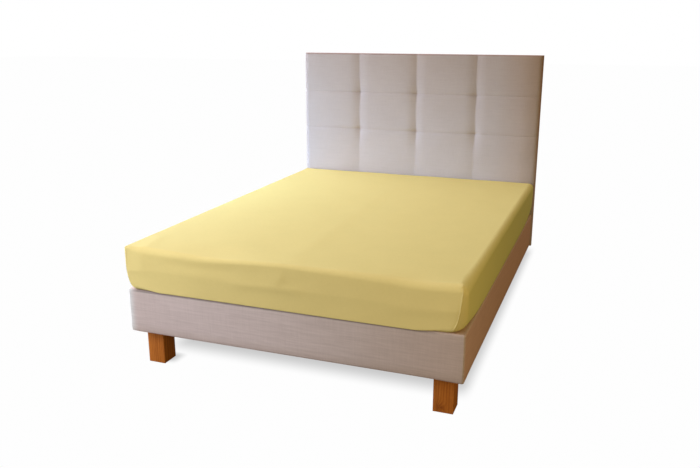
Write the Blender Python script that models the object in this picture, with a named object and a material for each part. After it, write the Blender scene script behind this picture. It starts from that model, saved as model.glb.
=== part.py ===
"""A fitted sheet on the mattress of an upholstered bed with a tufted headboard and four wooden legs.

Metres, +Z up. The foot end faces -Y and the headboard stands at +Y. The origin lies on the floor, under
the middle of the whole bed.
"""

import math
from collections import namedtuple

import bmesh
import bpy

# Driving dimensions
BED_WIDTH = 1.51
BED_LENGTH = 2.00
LEG_HEIGHT = 0.165
BASE_HEIGHT = 0.200
BEDDING_HEIGHT = 0.196  # the mattress in its sheet, above the base
HEADBOARD_WIDTH = 1.52
HEADBOARD_TOP = 1.320
HEADBOARD_BOTTOM = 0.155
HEADBOARD_THICKNESS = 0.060

# The clearances between pieces
GAP = 0.0003
DRAPE_CLEARANCE = 0.002  # where cloth goes round an edge

# The sheet and the mattress inside it
SHEET_THICKNESS = 0.002
SHEET_TUCK = 0.100  # how far the hem reaches in under the mattress
TOP_EDGE_RADIUS = 0.024
CORNER_TOP_EDGE_RADIUS = 0.012
LOW_EDGE_RADIUS = 0.014
CORNER_LOW_EDGE_RADIUS = 0.020
CORNER_RADIUS = 0.009  # in plan, at the top
LOW_CORNER_RADIUS = 0.058  # in plan, where the hem draws the corner in
CORNER_DRAW_HEIGHT = 0.120  # above the hem, where the drawing in starts
CORNER_DRAW_POWER = 1.5
SHARPEST_RADIUS = 0.003
SIDE_CROWN = 0.003
HEM_PULL = 0.005
CORNER_REACH_LONG = 0.40  # how far a corner's pull is felt along a long side
CORNER_REACH_SHORT = 0.14

# Where the top sinks at its edge: a place from the middle of the foot edge, two widths and a depth
Dip = namedtuple("Dip", "along inward width reach depth")
DIPS = (
    Dip(along=-0.36, inward=0.00, width=0.24, reach=0.13, depth=0.014),
    Dip(along=0.70, inward=0.02, width=0.24, reach=0.16, depth=0.013),
)

# Low soft ridges on the sheet, from a start to an end in plan, measured from the middle of the foot edge
Ridge = namedtuple("Ridge", "start_x start_y end_x end_y width height")
RIDGES = (
    Ridge(start_x=0.01, start_y=-0.10, end_x=-0.02, end_y=1.60, width=0.035, height=0.0022),
    Ridge(start_x=-0.64, start_y=-0.10, end_x=-0.69, end_y=0.22, width=0.030, height=0.0020),
)

# How finely the sheet is divided: the lengthwise lines' places across half the bed, and along it
ACROSS = (0.0, 0.045, 0.12, 0.25, 0.40, 0.55, 0.70, 0.85, 1.0)
ALONG = (-1.0, -0.95, -0.89, -0.81, -0.70, -0.55, -0.38, -0.20, 0.0, 0.20, 0.40, 0.60, 0.80, 1.0)
CORNER_STEPS = 5
TOP_EDGE_STEPS = 3
SIDE_STEPS = 6
LOW_EDGE_STEPS = 3
TUCK_STEPS = 2
FIELD_INSET = 0.045  # from the outline to the top's own grid

# The base
BASE_CORNER_RADIUS = 0.008
BASE_EDGE_RADIUS = 0.006

# The headboard's tufting
TUFT_PITCH_X = 0.378
TUFT_PITCH_Z = 0.2365
TUFT_COLUMNS = (-1, 0, 1)
TUFT_ROWS = (1, 2)
SEAM_DEPTH_UPRIGHT = 0.014
SEAM_DEPTH_LEVEL = 0.006
SEAM_SOFTNESS = 0.022
TUFT_DEPTH = 0.012
TUFT_SOFTNESS = 0.050
HEADBOARD_EDGE_RADIUS = 0.012
PILLOW_STEPS = (0.0, 0.06, 0.2, 0.5, 0.8, 0.94)

# The legs
LEG_WIDTH = 0.083
LEG_DEPTH = 0.087
FOOT_LEG_INSET_X = 0.047
FOOT_LEG_INSET_Y = 0.056
HEAD_LEG_INSET = 0.100  # further in, behind the base's edge
LEG_EDGE_RADIUS = 0.003

# Worked out from the sizes above
FOOT_Y = -(BED_LENGTH + GAP + HEADBOARD_THICKNESS) / 2
BED_CENTRE_Y = FOOT_Y + BED_LENGTH / 2
HEADBOARD_FRONT_Y = FOOT_Y + BED_LENGTH + GAP
HALF_WIDTH = BED_WIDTH / 2
HALF_LENGTH = BED_LENGTH / 2
BASE_TOP = LEG_HEIGHT + BASE_HEIGHT

# One body wrapped like the mattress: how far it lies inside the sheet's outside, and its own levels
Wrap = namedtuple("Wrap", "inset bottom top tuck")
# One line of points over the wrap, round the bed: its side or corner, and its place there
Column = namedtuple("Column", "turn_x turn_y across along is_corner")


def clear_scene():
    for item in list(bpy.data.objects):
        bpy.data.objects.remove(item, do_unlink=True)


def material(name, colour, roughness):
    """A plain Principled material."""
    made = bpy.data.materials.new(name)
    made.use_nodes = True
    shader = made.node_tree.nodes["Principled BSDF"]
    shader.inputs["Base Color"].default_value = (*colour, 1.0)
    shader.inputs["Roughness"].default_value = roughness
    shader.inputs["Metallic"].default_value = 0.0
    made.diffuse_color = (*colour, 1.0)
    return made


def add_object(name, build, finish):
    """An object from a bmesh, shaded smooth but for its sharp edges."""
    mesh = bpy.data.meshes.new(name)
    build.to_mesh(mesh)
    build.free()
    mesh.shade_smooth()
    mesh.set_sharp_from_angle(angle=math.radians(40))
    mesh.materials.append(finish)
    made = bpy.data.objects.new(name, mesh)
    bpy.context.scene.collection.objects.link(made)
    return made


def ease(value):
    """A smooth step from 0 to 1."""
    held = min(max(value, 0.0), 1.0)
    return held * held * (3 - 2 * held)


def between(start, end, share):
    return start + (end - start) * share


def dip_at(x, y):
    """How far the top sinks at a place, given from the middle of the foot edge."""
    sunk = 0.0
    for dip in DIPS:
        sideways = (x - dip.along) / dip.width
        inwards = (y - dip.inward) / dip.reach
        sunk += dip.depth * math.exp(-(sideways**2) - inwards**2)
    return sunk


def ridge_at(x, y):
    """How high the soft ridges stand at a place, given from the middle of the foot edge."""
    raised = 0.0
    for ridge in RIDGES:
        run_x = ridge.end_x - ridge.start_x
        run_y = ridge.end_y - ridge.start_y
        length = math.hypot(run_x, run_y)
        walked = ((x - ridge.start_x) * run_x + (y - ridge.start_y) * run_y) / length
        aside = ((x - ridge.start_x) * run_y - (y - ridge.start_y) * run_x) / length
        fade = ease(walked / 0.05) * ease((length - walked) / 0.3)
        raised += ridge.height * fade * math.exp(-((aside / ridge.width) ** 2))
    return raised


def columns_round_the_bed():
    """Every column, counter-clockwise from the foot's left end."""
    across = [-place for place in reversed(ACROSS[1:])] + list(ACROSS)
    sides = (
        ((0, -1), [(place, -1.0) for place in across]),
        ((1, 0), [(1.0, place) for place in ALONG]),
        ((0, 1), [(place, 1.0) for place in reversed(across)]),
        ((-1, 0), [(-1.0, place) for place in reversed(ALONG)]),
    )
    columns = []
    for (turn_x, turn_y), places in sides:
        columns += [Column(turn_x, turn_y, across, along, False) for across, along in places]
        corner_x, corner_y = places[-1]
        start = math.atan2(turn_y, turn_x)
        for step in range(1, CORNER_STEPS):
            angle = start + math.pi / 2 * step / CORNER_STEPS
            columns.append(Column(math.cos(angle), math.sin(angle), corner_x, corner_y, True))
    return columns


def nearness_to_corner(column):
    """1 at a corner, fading to 0 along the sides."""
    if abs(column.across) == 1.0 and abs(column.along) < 1.0:
        away = (1 - abs(column.along)) * HALF_LENGTH
        return ease(1 - away / CORNER_REACH_LONG)
    away = (1 - abs(column.across)) * HALF_WIDTH
    return ease(1 - away / CORNER_REACH_SHORT)


def profile(column, wrap):
    """One column's points as (inset, height): over the top edge, down the side and in underneath."""
    near = nearness_to_corner(column)
    top = wrap.top - dip_at(column.across * HALF_WIDTH, (column.along + 1) * HALF_LENGTH)
    round_top = between(TOP_EDGE_RADIUS, CORNER_TOP_EDGE_RADIUS, near) - wrap.inset
    round_low = between(LOW_EDGE_RADIUS, CORNER_LOW_EDGE_RADIUS, near) - wrap.inset
    points = []
    for step in range(TOP_EDGE_STEPS + 1):
        angle = math.pi / 2 * step / TOP_EDGE_STEPS
        points.append((round_top * (1 - math.sin(angle)), top - round_top * (1 - math.cos(angle))))
    upper = top - round_top
    lower = wrap.bottom + round_low
    for step in range(1, SIDE_STEPS):
        points.append((0.0, upper + (lower - upper) * step / SIDE_STEPS))
    for step in range(LOW_EDGE_STEPS + 1):
        angle = math.pi / 2 * step / LOW_EDGE_STEPS
        points.append((round_low * (1 - math.cos(angle)), wrap.bottom + round_low * (1 - math.sin(angle))))
    for step in range(1, TUCK_STEPS + 1):
        points.append((round_low + (wrap.tuck - round_low) * step / TUCK_STEPS, wrap.bottom))
    middle = (wrap.top + wrap.bottom) / 2
    half = (wrap.top - wrap.bottom) / 2
    leaned = []
    for inset, height in points:
        crown = SIDE_CROWN * min(((height - middle) / half) ** 2, 1.0)
        pull = HEM_PULL * near * ease((middle - height) / half)
        leaned.append((inset + wrap.inset + crown + pull, height))
    return leaned


def plan_point(column, inset, height, wrap):
    """Where a column passes at an inset from the bed's outline, its corners rounder towards the hem."""
    drawn = 1 - (height - wrap.bottom) / CORNER_DRAW_HEIGHT
    radius = between(CORNER_RADIUS, LOW_CORNER_RADIUS, max(drawn, 0.0) ** CORNER_DRAW_POWER)
    corner = max(radius - inset, SHARPEST_RADIUS)
    reach_x = HALF_WIDTH - inset - corner
    reach_y = HALF_LENGTH - inset - corner
    x = column.across * reach_x + column.turn_x * corner
    y = column.along * reach_y + column.turn_y * corner
    return x, y + BED_CENTRE_Y


def raised(x, y, height, wrap, ridges):
    """A point lifted off the mattress by the soft ridges that pass over it."""
    lift = ridge_at(x, y - FOOT_Y) if ridges else 0.0
    upward = ease((height - (wrap.top + wrap.bottom) / 2) / ((wrap.top - wrap.bottom) / 2))
    return height + lift * upward


def wrapped_body(wrap, ridges):
    """A skin over the mattress's form, open inside the hem, and its last ring of vertices."""
    build = bmesh.new()
    columns = columns_round_the_bed()
    profiles = [profile(column, wrap) for column in columns]
    rings = []
    for level in range(len(profiles[0])):
        ring = []
        for column, points in zip(columns, profiles):
            inset, height = points[level]
            x, y = plan_point(column, inset, height, wrap)
            ring.append(build.verts.new((x, y, raised(x, y, height, wrap, ridges))))
        rings.append(ring)
    for upper, lower in zip(rings, rings[1:]):
        for index in range(len(columns)):
            after = (index + 1) % len(columns)
            build.faces.new((upper[index], lower[index], lower[after], upper[after]))
    add_top(build, columns, rings[0], wrap, ridges)
    build.normal_update()
    return build, rings[-1]


def add_top(build, columns, edge_ring, wrap, ridges):
    """The top's grid of lengthwise and crosswise lines, joined to the ring round its edge."""
    across = [-place for place in reversed(ACROSS[1:])] + list(ACROSS)
    grid = {}
    for place_x in across:
        for place_y in ALONG:
            x = place_x * (HALF_WIDTH - FIELD_INSET)
            y = place_y * (HALF_LENGTH - FIELD_INSET) + BED_CENTRE_Y
            height = wrap.top - dip_at(x, y - FOOT_Y)
            grid[place_x, place_y] = build.verts.new((x, y, raised(x, y, height, wrap, ridges)))
    for left, right in zip(across, across[1:]):
        for near, far in zip(ALONG, ALONG[1:]):
            build.faces.new((grid[left, near], grid[right, near], grid[right, far], grid[left, far]))
    for index, column in enumerate(columns):
        after = (index + 1) % len(columns)
        here = grid[column.across, column.along]
        there = grid[columns[after].across, columns[after].along]
        corners = (here, edge_ring[index], edge_ring[after])
        build.faces.new(corners if here is there else (*corners, there))


def add_sheet(finish):
    """The fitted sheet, as one thin cloth whose hem is tucked in under the mattress."""
    outside = Wrap(inset=0.0, bottom=BASE_TOP + GAP, top=BASE_TOP + BEDDING_HEIGHT, tuck=SHEET_TUCK)
    build, _ = wrapped_body(outside, ridges=True)
    sheet = add_object("sheet", build, finish)
    cloth = sheet.modifiers.new("Cloth", "SOLIDIFY")
    cloth.thickness = SHEET_THICKNESS
    cloth.offset = -1.0
    cloth.use_even_offset = True


def add_mattress(finish):
    """The mattress, a closed block in the sheet's own form, resting on the tucked hem."""
    inside = Wrap(
        inset=SHEET_THICKNESS + DRAPE_CLEARANCE,
        bottom=BASE_TOP + SHEET_THICKNESS + 2 * GAP,
        top=BASE_TOP + BEDDING_HEIGHT - SHEET_THICKNESS - GAP,
        tuck=SHEET_TUCK,
    )
    build, last_ring = wrapped_body(inside, ridges=False)
    build.faces.new(reversed(last_ring))
    add_object("mattress", build, finish)


def rounded_block(size, centre, radii):
    """A box whose upright edges and level edges are rounded by two radii."""
    build = bmesh.new()
    bmesh.ops.create_cube(build, size=1.0)
    bmesh.ops.scale(build, vec=size, verts=build.verts)
    upright_radius, level_radius = radii
    upright = [edge for edge in build.edges if abs(edge.verts[0].co.z - edge.verts[1].co.z) > 1e-6]
    bmesh.ops.bevel(build, geom=upright, offset=upright_radius, segments=4, profile=0.5, affect="EDGES")
    level = [edge for edge in build.edges if len({vert.co.z > 0 for vert in edge.verts}) == 1]
    bmesh.ops.bevel(build, geom=level, offset=level_radius, segments=3, profile=0.5, affect="EDGES")
    bmesh.ops.translate(build, vec=centre, verts=build.verts)
    return build


def add_base(finish):
    """The upholstered base under the mattress."""
    size = (BED_WIDTH, BED_LENGTH, BASE_HEIGHT)
    centre = (0.0, BED_CENTRE_Y, LEG_HEIGHT + BASE_HEIGHT / 2)
    add_object("base", rounded_block(size, centre, (BASE_CORNER_RADIUS, BASE_EDGE_RADIUS)), finish)


def add_legs(finish):
    """Four square legs, each against the base's underside."""
    height = LEG_HEIGHT - GAP
    size = (LEG_WIDTH, LEG_DEPTH, height)
    radii = (LEG_EDGE_RADIUS, LEG_EDGE_RADIUS / 2)
    ends = (("foot", -1, FOOT_LEG_INSET_X, FOOT_LEG_INSET_Y), ("head", 1, HEAD_LEG_INSET, HEAD_LEG_INSET))
    for end, towards, inset_x, inset_y in ends:
        x = HALF_WIDTH - inset_x - LEG_WIDTH / 2
        y = BED_CENTRE_Y + towards * (HALF_LENGTH - inset_y - LEG_DEPTH / 2)
        for side, turn in (("left", -1), ("right", 1)):
            build = rounded_block(size, (turn * x, y, height / 2), radii)
            add_object(f"leg_{end}_{side}", build, finish)


def distance_to_seam(value, seams):
    return min(abs(value - seam) for seam in seams)


def tufting_depth(x, z):
    """How far the headboard's front lies behind its crowns, at a place."""
    upright = [column * TUFT_PITCH_X for column in TUFT_COLUMNS]
    level = [HEADBOARD_TOP - row * TUFT_PITCH_Z for row in TUFT_ROWS]
    aside = distance_to_seam(x, upright)
    above = distance_to_seam(z, level)
    depth = SEAM_DEPTH_UPRIGHT * math.exp(-aside / SEAM_SOFTNESS)
    depth += SEAM_DEPTH_LEVEL * math.exp(-above / SEAM_SOFTNESS)
    depth += TUFT_DEPTH * math.exp(-math.hypot(aside, above) / TUFT_SOFTNESS)
    return depth


def rolled_edge_depth(x, z):
    """How far the headboard's rounded rim falls back, at a place."""
    from_side = HEADBOARD_WIDTH / 2 - abs(x)
    from_end = min(HEADBOARD_TOP - z, z - HEADBOARD_BOTTOM)
    inside = min(from_side, from_end, HEADBOARD_EDGE_RADIUS)
    return HEADBOARD_EDGE_RADIUS - math.sqrt(max(0.0, 2 * HEADBOARD_EDGE_RADIUS * inside - inside**2))


def pillow_lines(low, high, seams):
    """Places from low to high, closer together at the rims and at the seams."""
    rim = (0.3 * HEADBOARD_EDGE_RADIUS, HEADBOARD_EDGE_RADIUS)
    stops = [low, *sorted(seams), high]
    places = {low, high, *(low + step for step in rim), *(high - step for step in rim)}
    for start, end in zip(stops, stops[1:]):
        for share in PILLOW_STEPS:
            place = start + share * (end - start)
            if low + 2 * rim[1] < place < high - 2 * rim[1]:
                places.add(place)
    return sorted(places)


def add_headboard(finish):
    """The headboard, flat behind and tufted in front."""
    build = bmesh.new()
    half = HEADBOARD_WIDTH / 2
    xs = pillow_lines(-half, half, [column * TUFT_PITCH_X for column in TUFT_COLUMNS])
    zs = pillow_lines(
        HEADBOARD_BOTTOM, HEADBOARD_TOP, [HEADBOARD_TOP - row * TUFT_PITCH_Z for row in TUFT_ROWS]
    )
    front = {}
    for column, x in enumerate(xs):
        for row, z in enumerate(zs):
            depth = max(tufting_depth(x, z), rolled_edge_depth(x, z))
            front[column, row] = build.verts.new((x, HEADBOARD_FRONT_Y + depth, z))
    for column in range(len(xs) - 1):
        for row in range(len(zs) - 1):
            corners = ((column, row), (column + 1, row), (column + 1, row + 1), (column, row + 1))
            build.faces.new([front[corner] for corner in corners])
    bmesh.ops.recalc_face_normals(build, faces=build.faces)
    if build.faces[0].normal.y > 0:
        bmesh.ops.reverse_faces(build, faces=build.faces)
    last_column = len(xs) - 1
    last_row = len(zs) - 1
    rim = [(column, 0) for column in range(last_column)]
    rim += [(last_column, row) for row in range(last_row)]
    rim += [(column, last_row) for column in range(last_column, 0, -1)]
    rim += [(0, row) for row in range(last_row, 0, -1)]
    back_y = HEADBOARD_FRONT_Y + HEADBOARD_THICKNESS
    back = [build.verts.new((xs[column], back_y, zs[row])) for column, row in rim]
    for index, place in enumerate(rim):
        after = (index + 1) % len(rim)
        build.faces.new((front[place], back[index], back[after], front[rim[after]]))
    build.faces.new(reversed(back))
    add_object("headboard", build, finish)


def main():
    clear_scene()
    add_sheet(material("Sheet cotton", (0.85, 0.70, 0.34), 0.85))
    add_mattress(material("Mattress ticking", (0.80, 0.79, 0.76), 0.90))
    upholstery = material("Upholstery linen", (0.47, 0.41, 0.37), 0.92)
    add_base(upholstery)
    add_headboard(upholstery)
    add_legs(material("Leg wood", (0.38, 0.14, 0.04), 0.55))


main()
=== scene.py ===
"""A fitted sheet stretched over the mattress of an upholstered bed, with its finishes and studio light.

Metres, +Z up. The foot end faces -Y, and the origin lies on the floor under the middle of the bed. The
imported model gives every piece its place, and each piece below replaces the node that it stands for.
"""

import logging
import math
from dataclasses import dataclass
from enum import Enum
from typing import Any, Mapping, Sequence

import bmesh
import bpy
import numpy as np
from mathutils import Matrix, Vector


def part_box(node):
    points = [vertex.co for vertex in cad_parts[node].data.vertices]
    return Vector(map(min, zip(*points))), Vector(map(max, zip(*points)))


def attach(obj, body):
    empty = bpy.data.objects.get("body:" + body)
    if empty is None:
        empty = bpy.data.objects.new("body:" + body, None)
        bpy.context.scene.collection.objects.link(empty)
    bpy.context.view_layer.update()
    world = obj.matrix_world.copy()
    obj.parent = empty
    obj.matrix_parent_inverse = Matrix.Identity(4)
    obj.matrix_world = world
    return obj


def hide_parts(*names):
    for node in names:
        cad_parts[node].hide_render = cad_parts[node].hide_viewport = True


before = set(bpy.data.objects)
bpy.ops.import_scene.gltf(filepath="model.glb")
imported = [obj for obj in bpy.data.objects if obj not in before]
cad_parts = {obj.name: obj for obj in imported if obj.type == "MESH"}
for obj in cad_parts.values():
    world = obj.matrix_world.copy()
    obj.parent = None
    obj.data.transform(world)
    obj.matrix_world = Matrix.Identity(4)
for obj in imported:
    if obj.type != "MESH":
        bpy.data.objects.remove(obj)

Array = np.ndarray
Colour = tuple[float, float, float]
Point = tuple[float, float]
Triple = tuple[float, float, float]
Steps = tuple[int, int, int, int]

LOG = logging.getLogger("bed")
BODY = "root"
CLOTH_MAP = "cloth"  # the UV map that holds each piece's place on its flat cloth, in metres
MERGE_DISTANCE = 1e-5
SMOOTH_ANGLE = math.radians(40)
NO_SEAM = 9.0  # how far from a seam the columns between the corners are taken to be
WHITE: Colour = (1.0, 1.0, 1.0)
BLACK: Colour = (0.0, 0.0, 0.0)


# ---------------------------------------------------------------- small sums


def smooth_step(value: Array | float) -> Array:
    """A smooth step from 0 to 1, level at both ends."""
    held = np.clip(value, 0.0, 1.0)
    return held * held * (3 - 2 * held)


def between(start: Any, end: Any, share: Any) -> Any:
    """The value at a share of the way from start to end."""
    return start + (end - start) * share


def bell(offset: Array | float, width: float) -> Array:
    """A hump 1 high that falls away to both sides."""
    return np.exp(-((np.asarray(offset) / width) ** 2))


def crowded_to_ends(count: int, crowding: float) -> Array:
    """Places from -1 to 1 that lie closer together towards both ends.

    Args:
        count: How many spaces there are.
        crowding: 0 for even spaces, 1 for those of a sine.

    Returns:
        The places in rising order.
    """
    even = np.linspace(-1.0, 1.0, count + 1)
    return between(even, np.sin(even * math.pi / 2), crowding)


@dataclass(frozen=True)
class Waves:
    """Gentle unevenness made of crossing waves, the same at every run."""

    seed: int
    length: float
    height: float
    count: int = 14

    def at(self, *places: Array) -> Array:
        """The height at each place.

        Args:
            places: Two or three coordinates, as arrays of one shape.

        Returns:
            Heights of that shape.
        """
        draw = np.random.default_rng(self.seed)
        total = np.zeros(np.broadcast(*places).shape)
        for _ in range(self.count):
            heading = draw.normal(size=len(places))
            heading *= 2 * math.pi / (self.length * draw.uniform(0.7, 1.6) * np.linalg.norm(heading))
            phase = draw.uniform(0, 2 * math.pi)
            total = total + np.cos(sum(k * p for k, p in zip(heading, places)) + phase)
        return total * self.height / math.sqrt(self.count)


@dataclass(frozen=True)
class Fold:
    """A soft ridge in the cloth, or a crease where its height is negative, on the unrolled cloth."""

    start: Point
    end: Point
    width: float
    height: float
    fade: float = 0.04

    def at(self, x: Array, y: Array) -> Array:
        """How far the cloth is lifted at each place.

        Args:
            x: Places across the unrolled cloth.
            y: Places along it.

        Returns:
            The lift at each place.
        """
        run = np.subtract(self.end, self.start)
        length = float(np.hypot(*run))
        walked = ((x - self.start[0]) * run[0] + (y - self.start[1]) * run[1]) / length
        aside = ((x - self.start[0]) * run[1] - (y - self.start[1]) * run[0]) / length
        ends = smooth_step(walked / self.fade) * smooth_step((length - walked) / self.fade)
        return self.height * ends * bell(aside, self.width)


# ---------------------------------------------------------------- meshes


def read(items: Sequence[Any], key: str, kind: type, width: int = 1) -> Array:
    """Reads one property of a mesh's items.

    Args:
        items: The mesh's vertices, loops or polygons.
        key: The property's name.
        kind: Its number type.
        width: How many numbers it has.

    Returns:
        One row for each item.
    """
    values = np.empty(len(items) * width, kind)
    items.foreach_get(key, values)
    return values.reshape(-1, width) if width > 1 else values


class Patchwork:
    """Patches of one piece, gathered with their flat cloth places and sewn into a mesh."""

    def __init__(self) -> None:
        """Starts with no patch."""
        self.points: list[Array] = []
        self.faces: list[tuple[int, ...]] = []
        self.cloth: list[Array] = []
        self.count = 0

    def grid(self, points: Array, cloth: Array, closed: bool = False) -> None:
        """Adds a patch of quads.

        Args:
            points: Rows by columns by three coordinates.
            cloth: The same rows and columns by two flat places.
            closed: Whether the last column joins the first.
        """
        rows, columns = points.shape[:2]
        index = np.arange(rows * columns).reshape(rows, columns) + self.count
        after = np.roll(index, -1, axis=1)
        if not closed:
            index, after = index[:, :-1], after[:, :-1]
        quads = np.stack([index[:-1], index[1:], after[1:], after[:-1]], axis=-1).reshape(-1, 4)
        self.points.append(points.reshape(-1, 3))
        self.cloth.append(cloth.reshape(-1, 2))
        self.faces += [tuple(map(int, quad)) for quad in quads]
        self.count += rows * columns

    def skin(self, grid: Array, joint: Array, rings: Array, cloth: Array) -> None:
        """Adds the patches of one skin over the mattress's form.

        Args:
            grid: The top's grid.
            joint: The rings that join it to the sides.
            rings: The rings down the sides.
            cloth: Their flat places.
        """
        self.grid(grid, grid[..., :2])
        self.grid(joint, joint[..., :2], closed=True)
        self.grid(rings, cloth, closed=True)

    def cap(self, ring: Array, cloth: Array) -> None:
        """Adds one flat face inside a ring of points.

        Args:
            ring: The ring's points.
            cloth: Their flat places.
        """
        self.points.append(ring)
        self.cloth.append(cloth)
        self.faces.append(tuple(range(self.count, self.count + len(ring))))
        self.count += len(ring)

    def sew(self, name: str, finish: bpy.types.Material, upward: bool = False) -> bpy.types.Object:
        """Merges the patches where they meet, and turns the faces out.

        Args:
            name: The piece's name.
            finish: Its material.
            upward: Whether the piece is an open cloth whose faces turn up, not a closed body.

        Returns:
            The piece, in the scene.
        """
        points = np.concatenate(self.points)
        mesh = bpy.data.meshes.new(name)
        mesh.from_pydata(points.tolist(), [], self.faces)
        layer = mesh.uv_layers.new(name=CLOTH_MAP)
        places = np.concatenate(self.cloth)[read(mesh.loops, "vertex_index", np.int32)]
        layer.uv.foreach_set("vector", places.astype(np.float32).ravel())
        build = bmesh.new()
        build.from_mesh(mesh)
        bmesh.ops.remove_doubles(build, verts=build.verts, dist=MERGE_DISTANCE)
        bmesh.ops.recalc_face_normals(build, faces=build.faces)
        if upward and sum(face.normal.z * face.calc_area() for face in build.faces) < 0:
            bmesh.ops.reverse_faces(build, faces=build.faces)
        build.to_mesh(mesh)
        build.free()
        return put_in_scene(name, mesh, finish)


def put_in_scene(name: str, mesh: bpy.types.Mesh, finish: bpy.types.Material) -> bpy.types.Object:
    """Makes a smooth-shaded object of a mesh.

    Args:
        name: The object's name.
        mesh: Its mesh.
        finish: Its only material.

    Returns:
        The object, at the origin.
    """
    mesh.shade_smooth()
    mesh.set_sharp_from_angle(angle=SMOOTH_ANGLE)
    mesh.materials.clear()
    mesh.materials.append(finish)
    made = bpy.data.objects.new(name, mesh)
    bpy.context.scene.collection.objects.link(made)
    return made


def plain_box(
    name: str, low: Vector, high: Vector, finish: bpy.types.Material, eased: float = 0.0
) -> bpy.types.Object:
    """Makes a plain box.

    Args:
        name: The piece's name.
        low: Its lowest corner.
        high: Its highest corner.
        finish: Its material.
        eased: How far its edges are eased.

    Returns:
        The box, in the scene.
    """
    build = bmesh.new()
    bmesh.ops.create_cube(build, size=1.0)
    bmesh.ops.scale(build, vec=high - low, verts=build.verts)
    bmesh.ops.translate(build, vec=(low + high) / 2, verts=build.verts)
    if eased:
        bmesh.ops.bevel(build, geom=build.edges[:], offset=eased, segments=3, profile=0.6, affect="EDGES")
    mesh = bpy.data.meshes.new(name)
    build.to_mesh(mesh)
    build.free()
    return put_in_scene(name, mesh, finish)


def map_as_box(mesh: bpy.types.Mesh, half_width: float, foot_y: float) -> None:
    """Lays flat cloth places on a box-shaped piece, running on round its upright corners.

    Args:
        mesh: The piece's mesh.
        half_width: From its middle to its side.
        foot_y: Where its front is.
    """
    layer = mesh.uv_layers.get(CLOTH_MAP) or mesh.uv_layers.new(name=CLOTH_MAP)
    normals = read(mesh.polygons, "normal", np.float32, 3)
    facing = np.repeat(normals, read(mesh.polygons, "loop_total", np.int32), axis=0)
    corner_points = read(mesh.loops, "vertex_index", np.int32)
    x, y, z = read(mesh.vertices, "co", np.float32, 3)[corner_points].T
    most = np.abs(facing).argmax(axis=1)
    round_side = np.where(facing[:, 0] < 0, -1, 1) * (half_width + y - foot_y)
    u = np.where(most == 0, round_side, x)
    v = np.where(most == 2, y, z)
    layer.uv.foreach_set("vector", np.stack([u, v], axis=1).astype(np.float32).ravel())


def dress(piece: bpy.types.Object, slot: str, *nodes: str) -> bpy.types.Object:
    """Lets a piece ride on the bed, in place of its nodes, and reports it.

    Args:
        piece: The finished piece.
        slot: Not used.
        nodes: The nodes that it stands for.

    Returns:
        The same piece.
    """
    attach(piece, BODY)
    if nodes:
        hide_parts(*nodes)
    LOG.info("%s: %d faces", piece.name, len(piece.data.polygons))
    return piece


# ---------------------------------------------------------------- shader expressions


class Axis(Enum):
    """The three axes, by their index."""

    X = 0
    Y = 1
    Z = 2


class Wire:
    """A shader socket that works in expressions: each operator adds the Math node that it needs."""

    def __init__(self, bench: "Bench", socket: bpy.types.NodeSocket) -> None:
        """Wraps one socket of a bench's tree."""
        self.bench = bench
        self.socket = socket

    def __add__(self, other: Any) -> "Wire":
        """This plus other."""
        return self.bench.sum("ADD", self, other)

    def __radd__(self, other: Any) -> "Wire":
        """Other plus this."""
        return self.bench.sum("ADD", other, self)

    def __sub__(self, other: Any) -> "Wire":
        """This minus other."""
        return self.bench.sum("SUBTRACT", self, other)

    def __rsub__(self, other: Any) -> "Wire":
        """Other minus this."""
        return self.bench.sum("SUBTRACT", other, self)

    def __mul__(self, other: Any) -> "Wire":
        """This times other."""
        return self.bench.sum("MULTIPLY", self, other)

    def __rmul__(self, other: Any) -> "Wire":
        """Other times this."""
        return self.bench.sum("MULTIPLY", other, self)

    def __truediv__(self, other: Any) -> "Wire":
        """This divided by other."""
        return self.bench.sum("DIVIDE", self, other)

    def __pow__(self, other: Any) -> "Wire":
        """This to the power of other."""
        return self.bench.sum("POWER", self, other)


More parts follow.
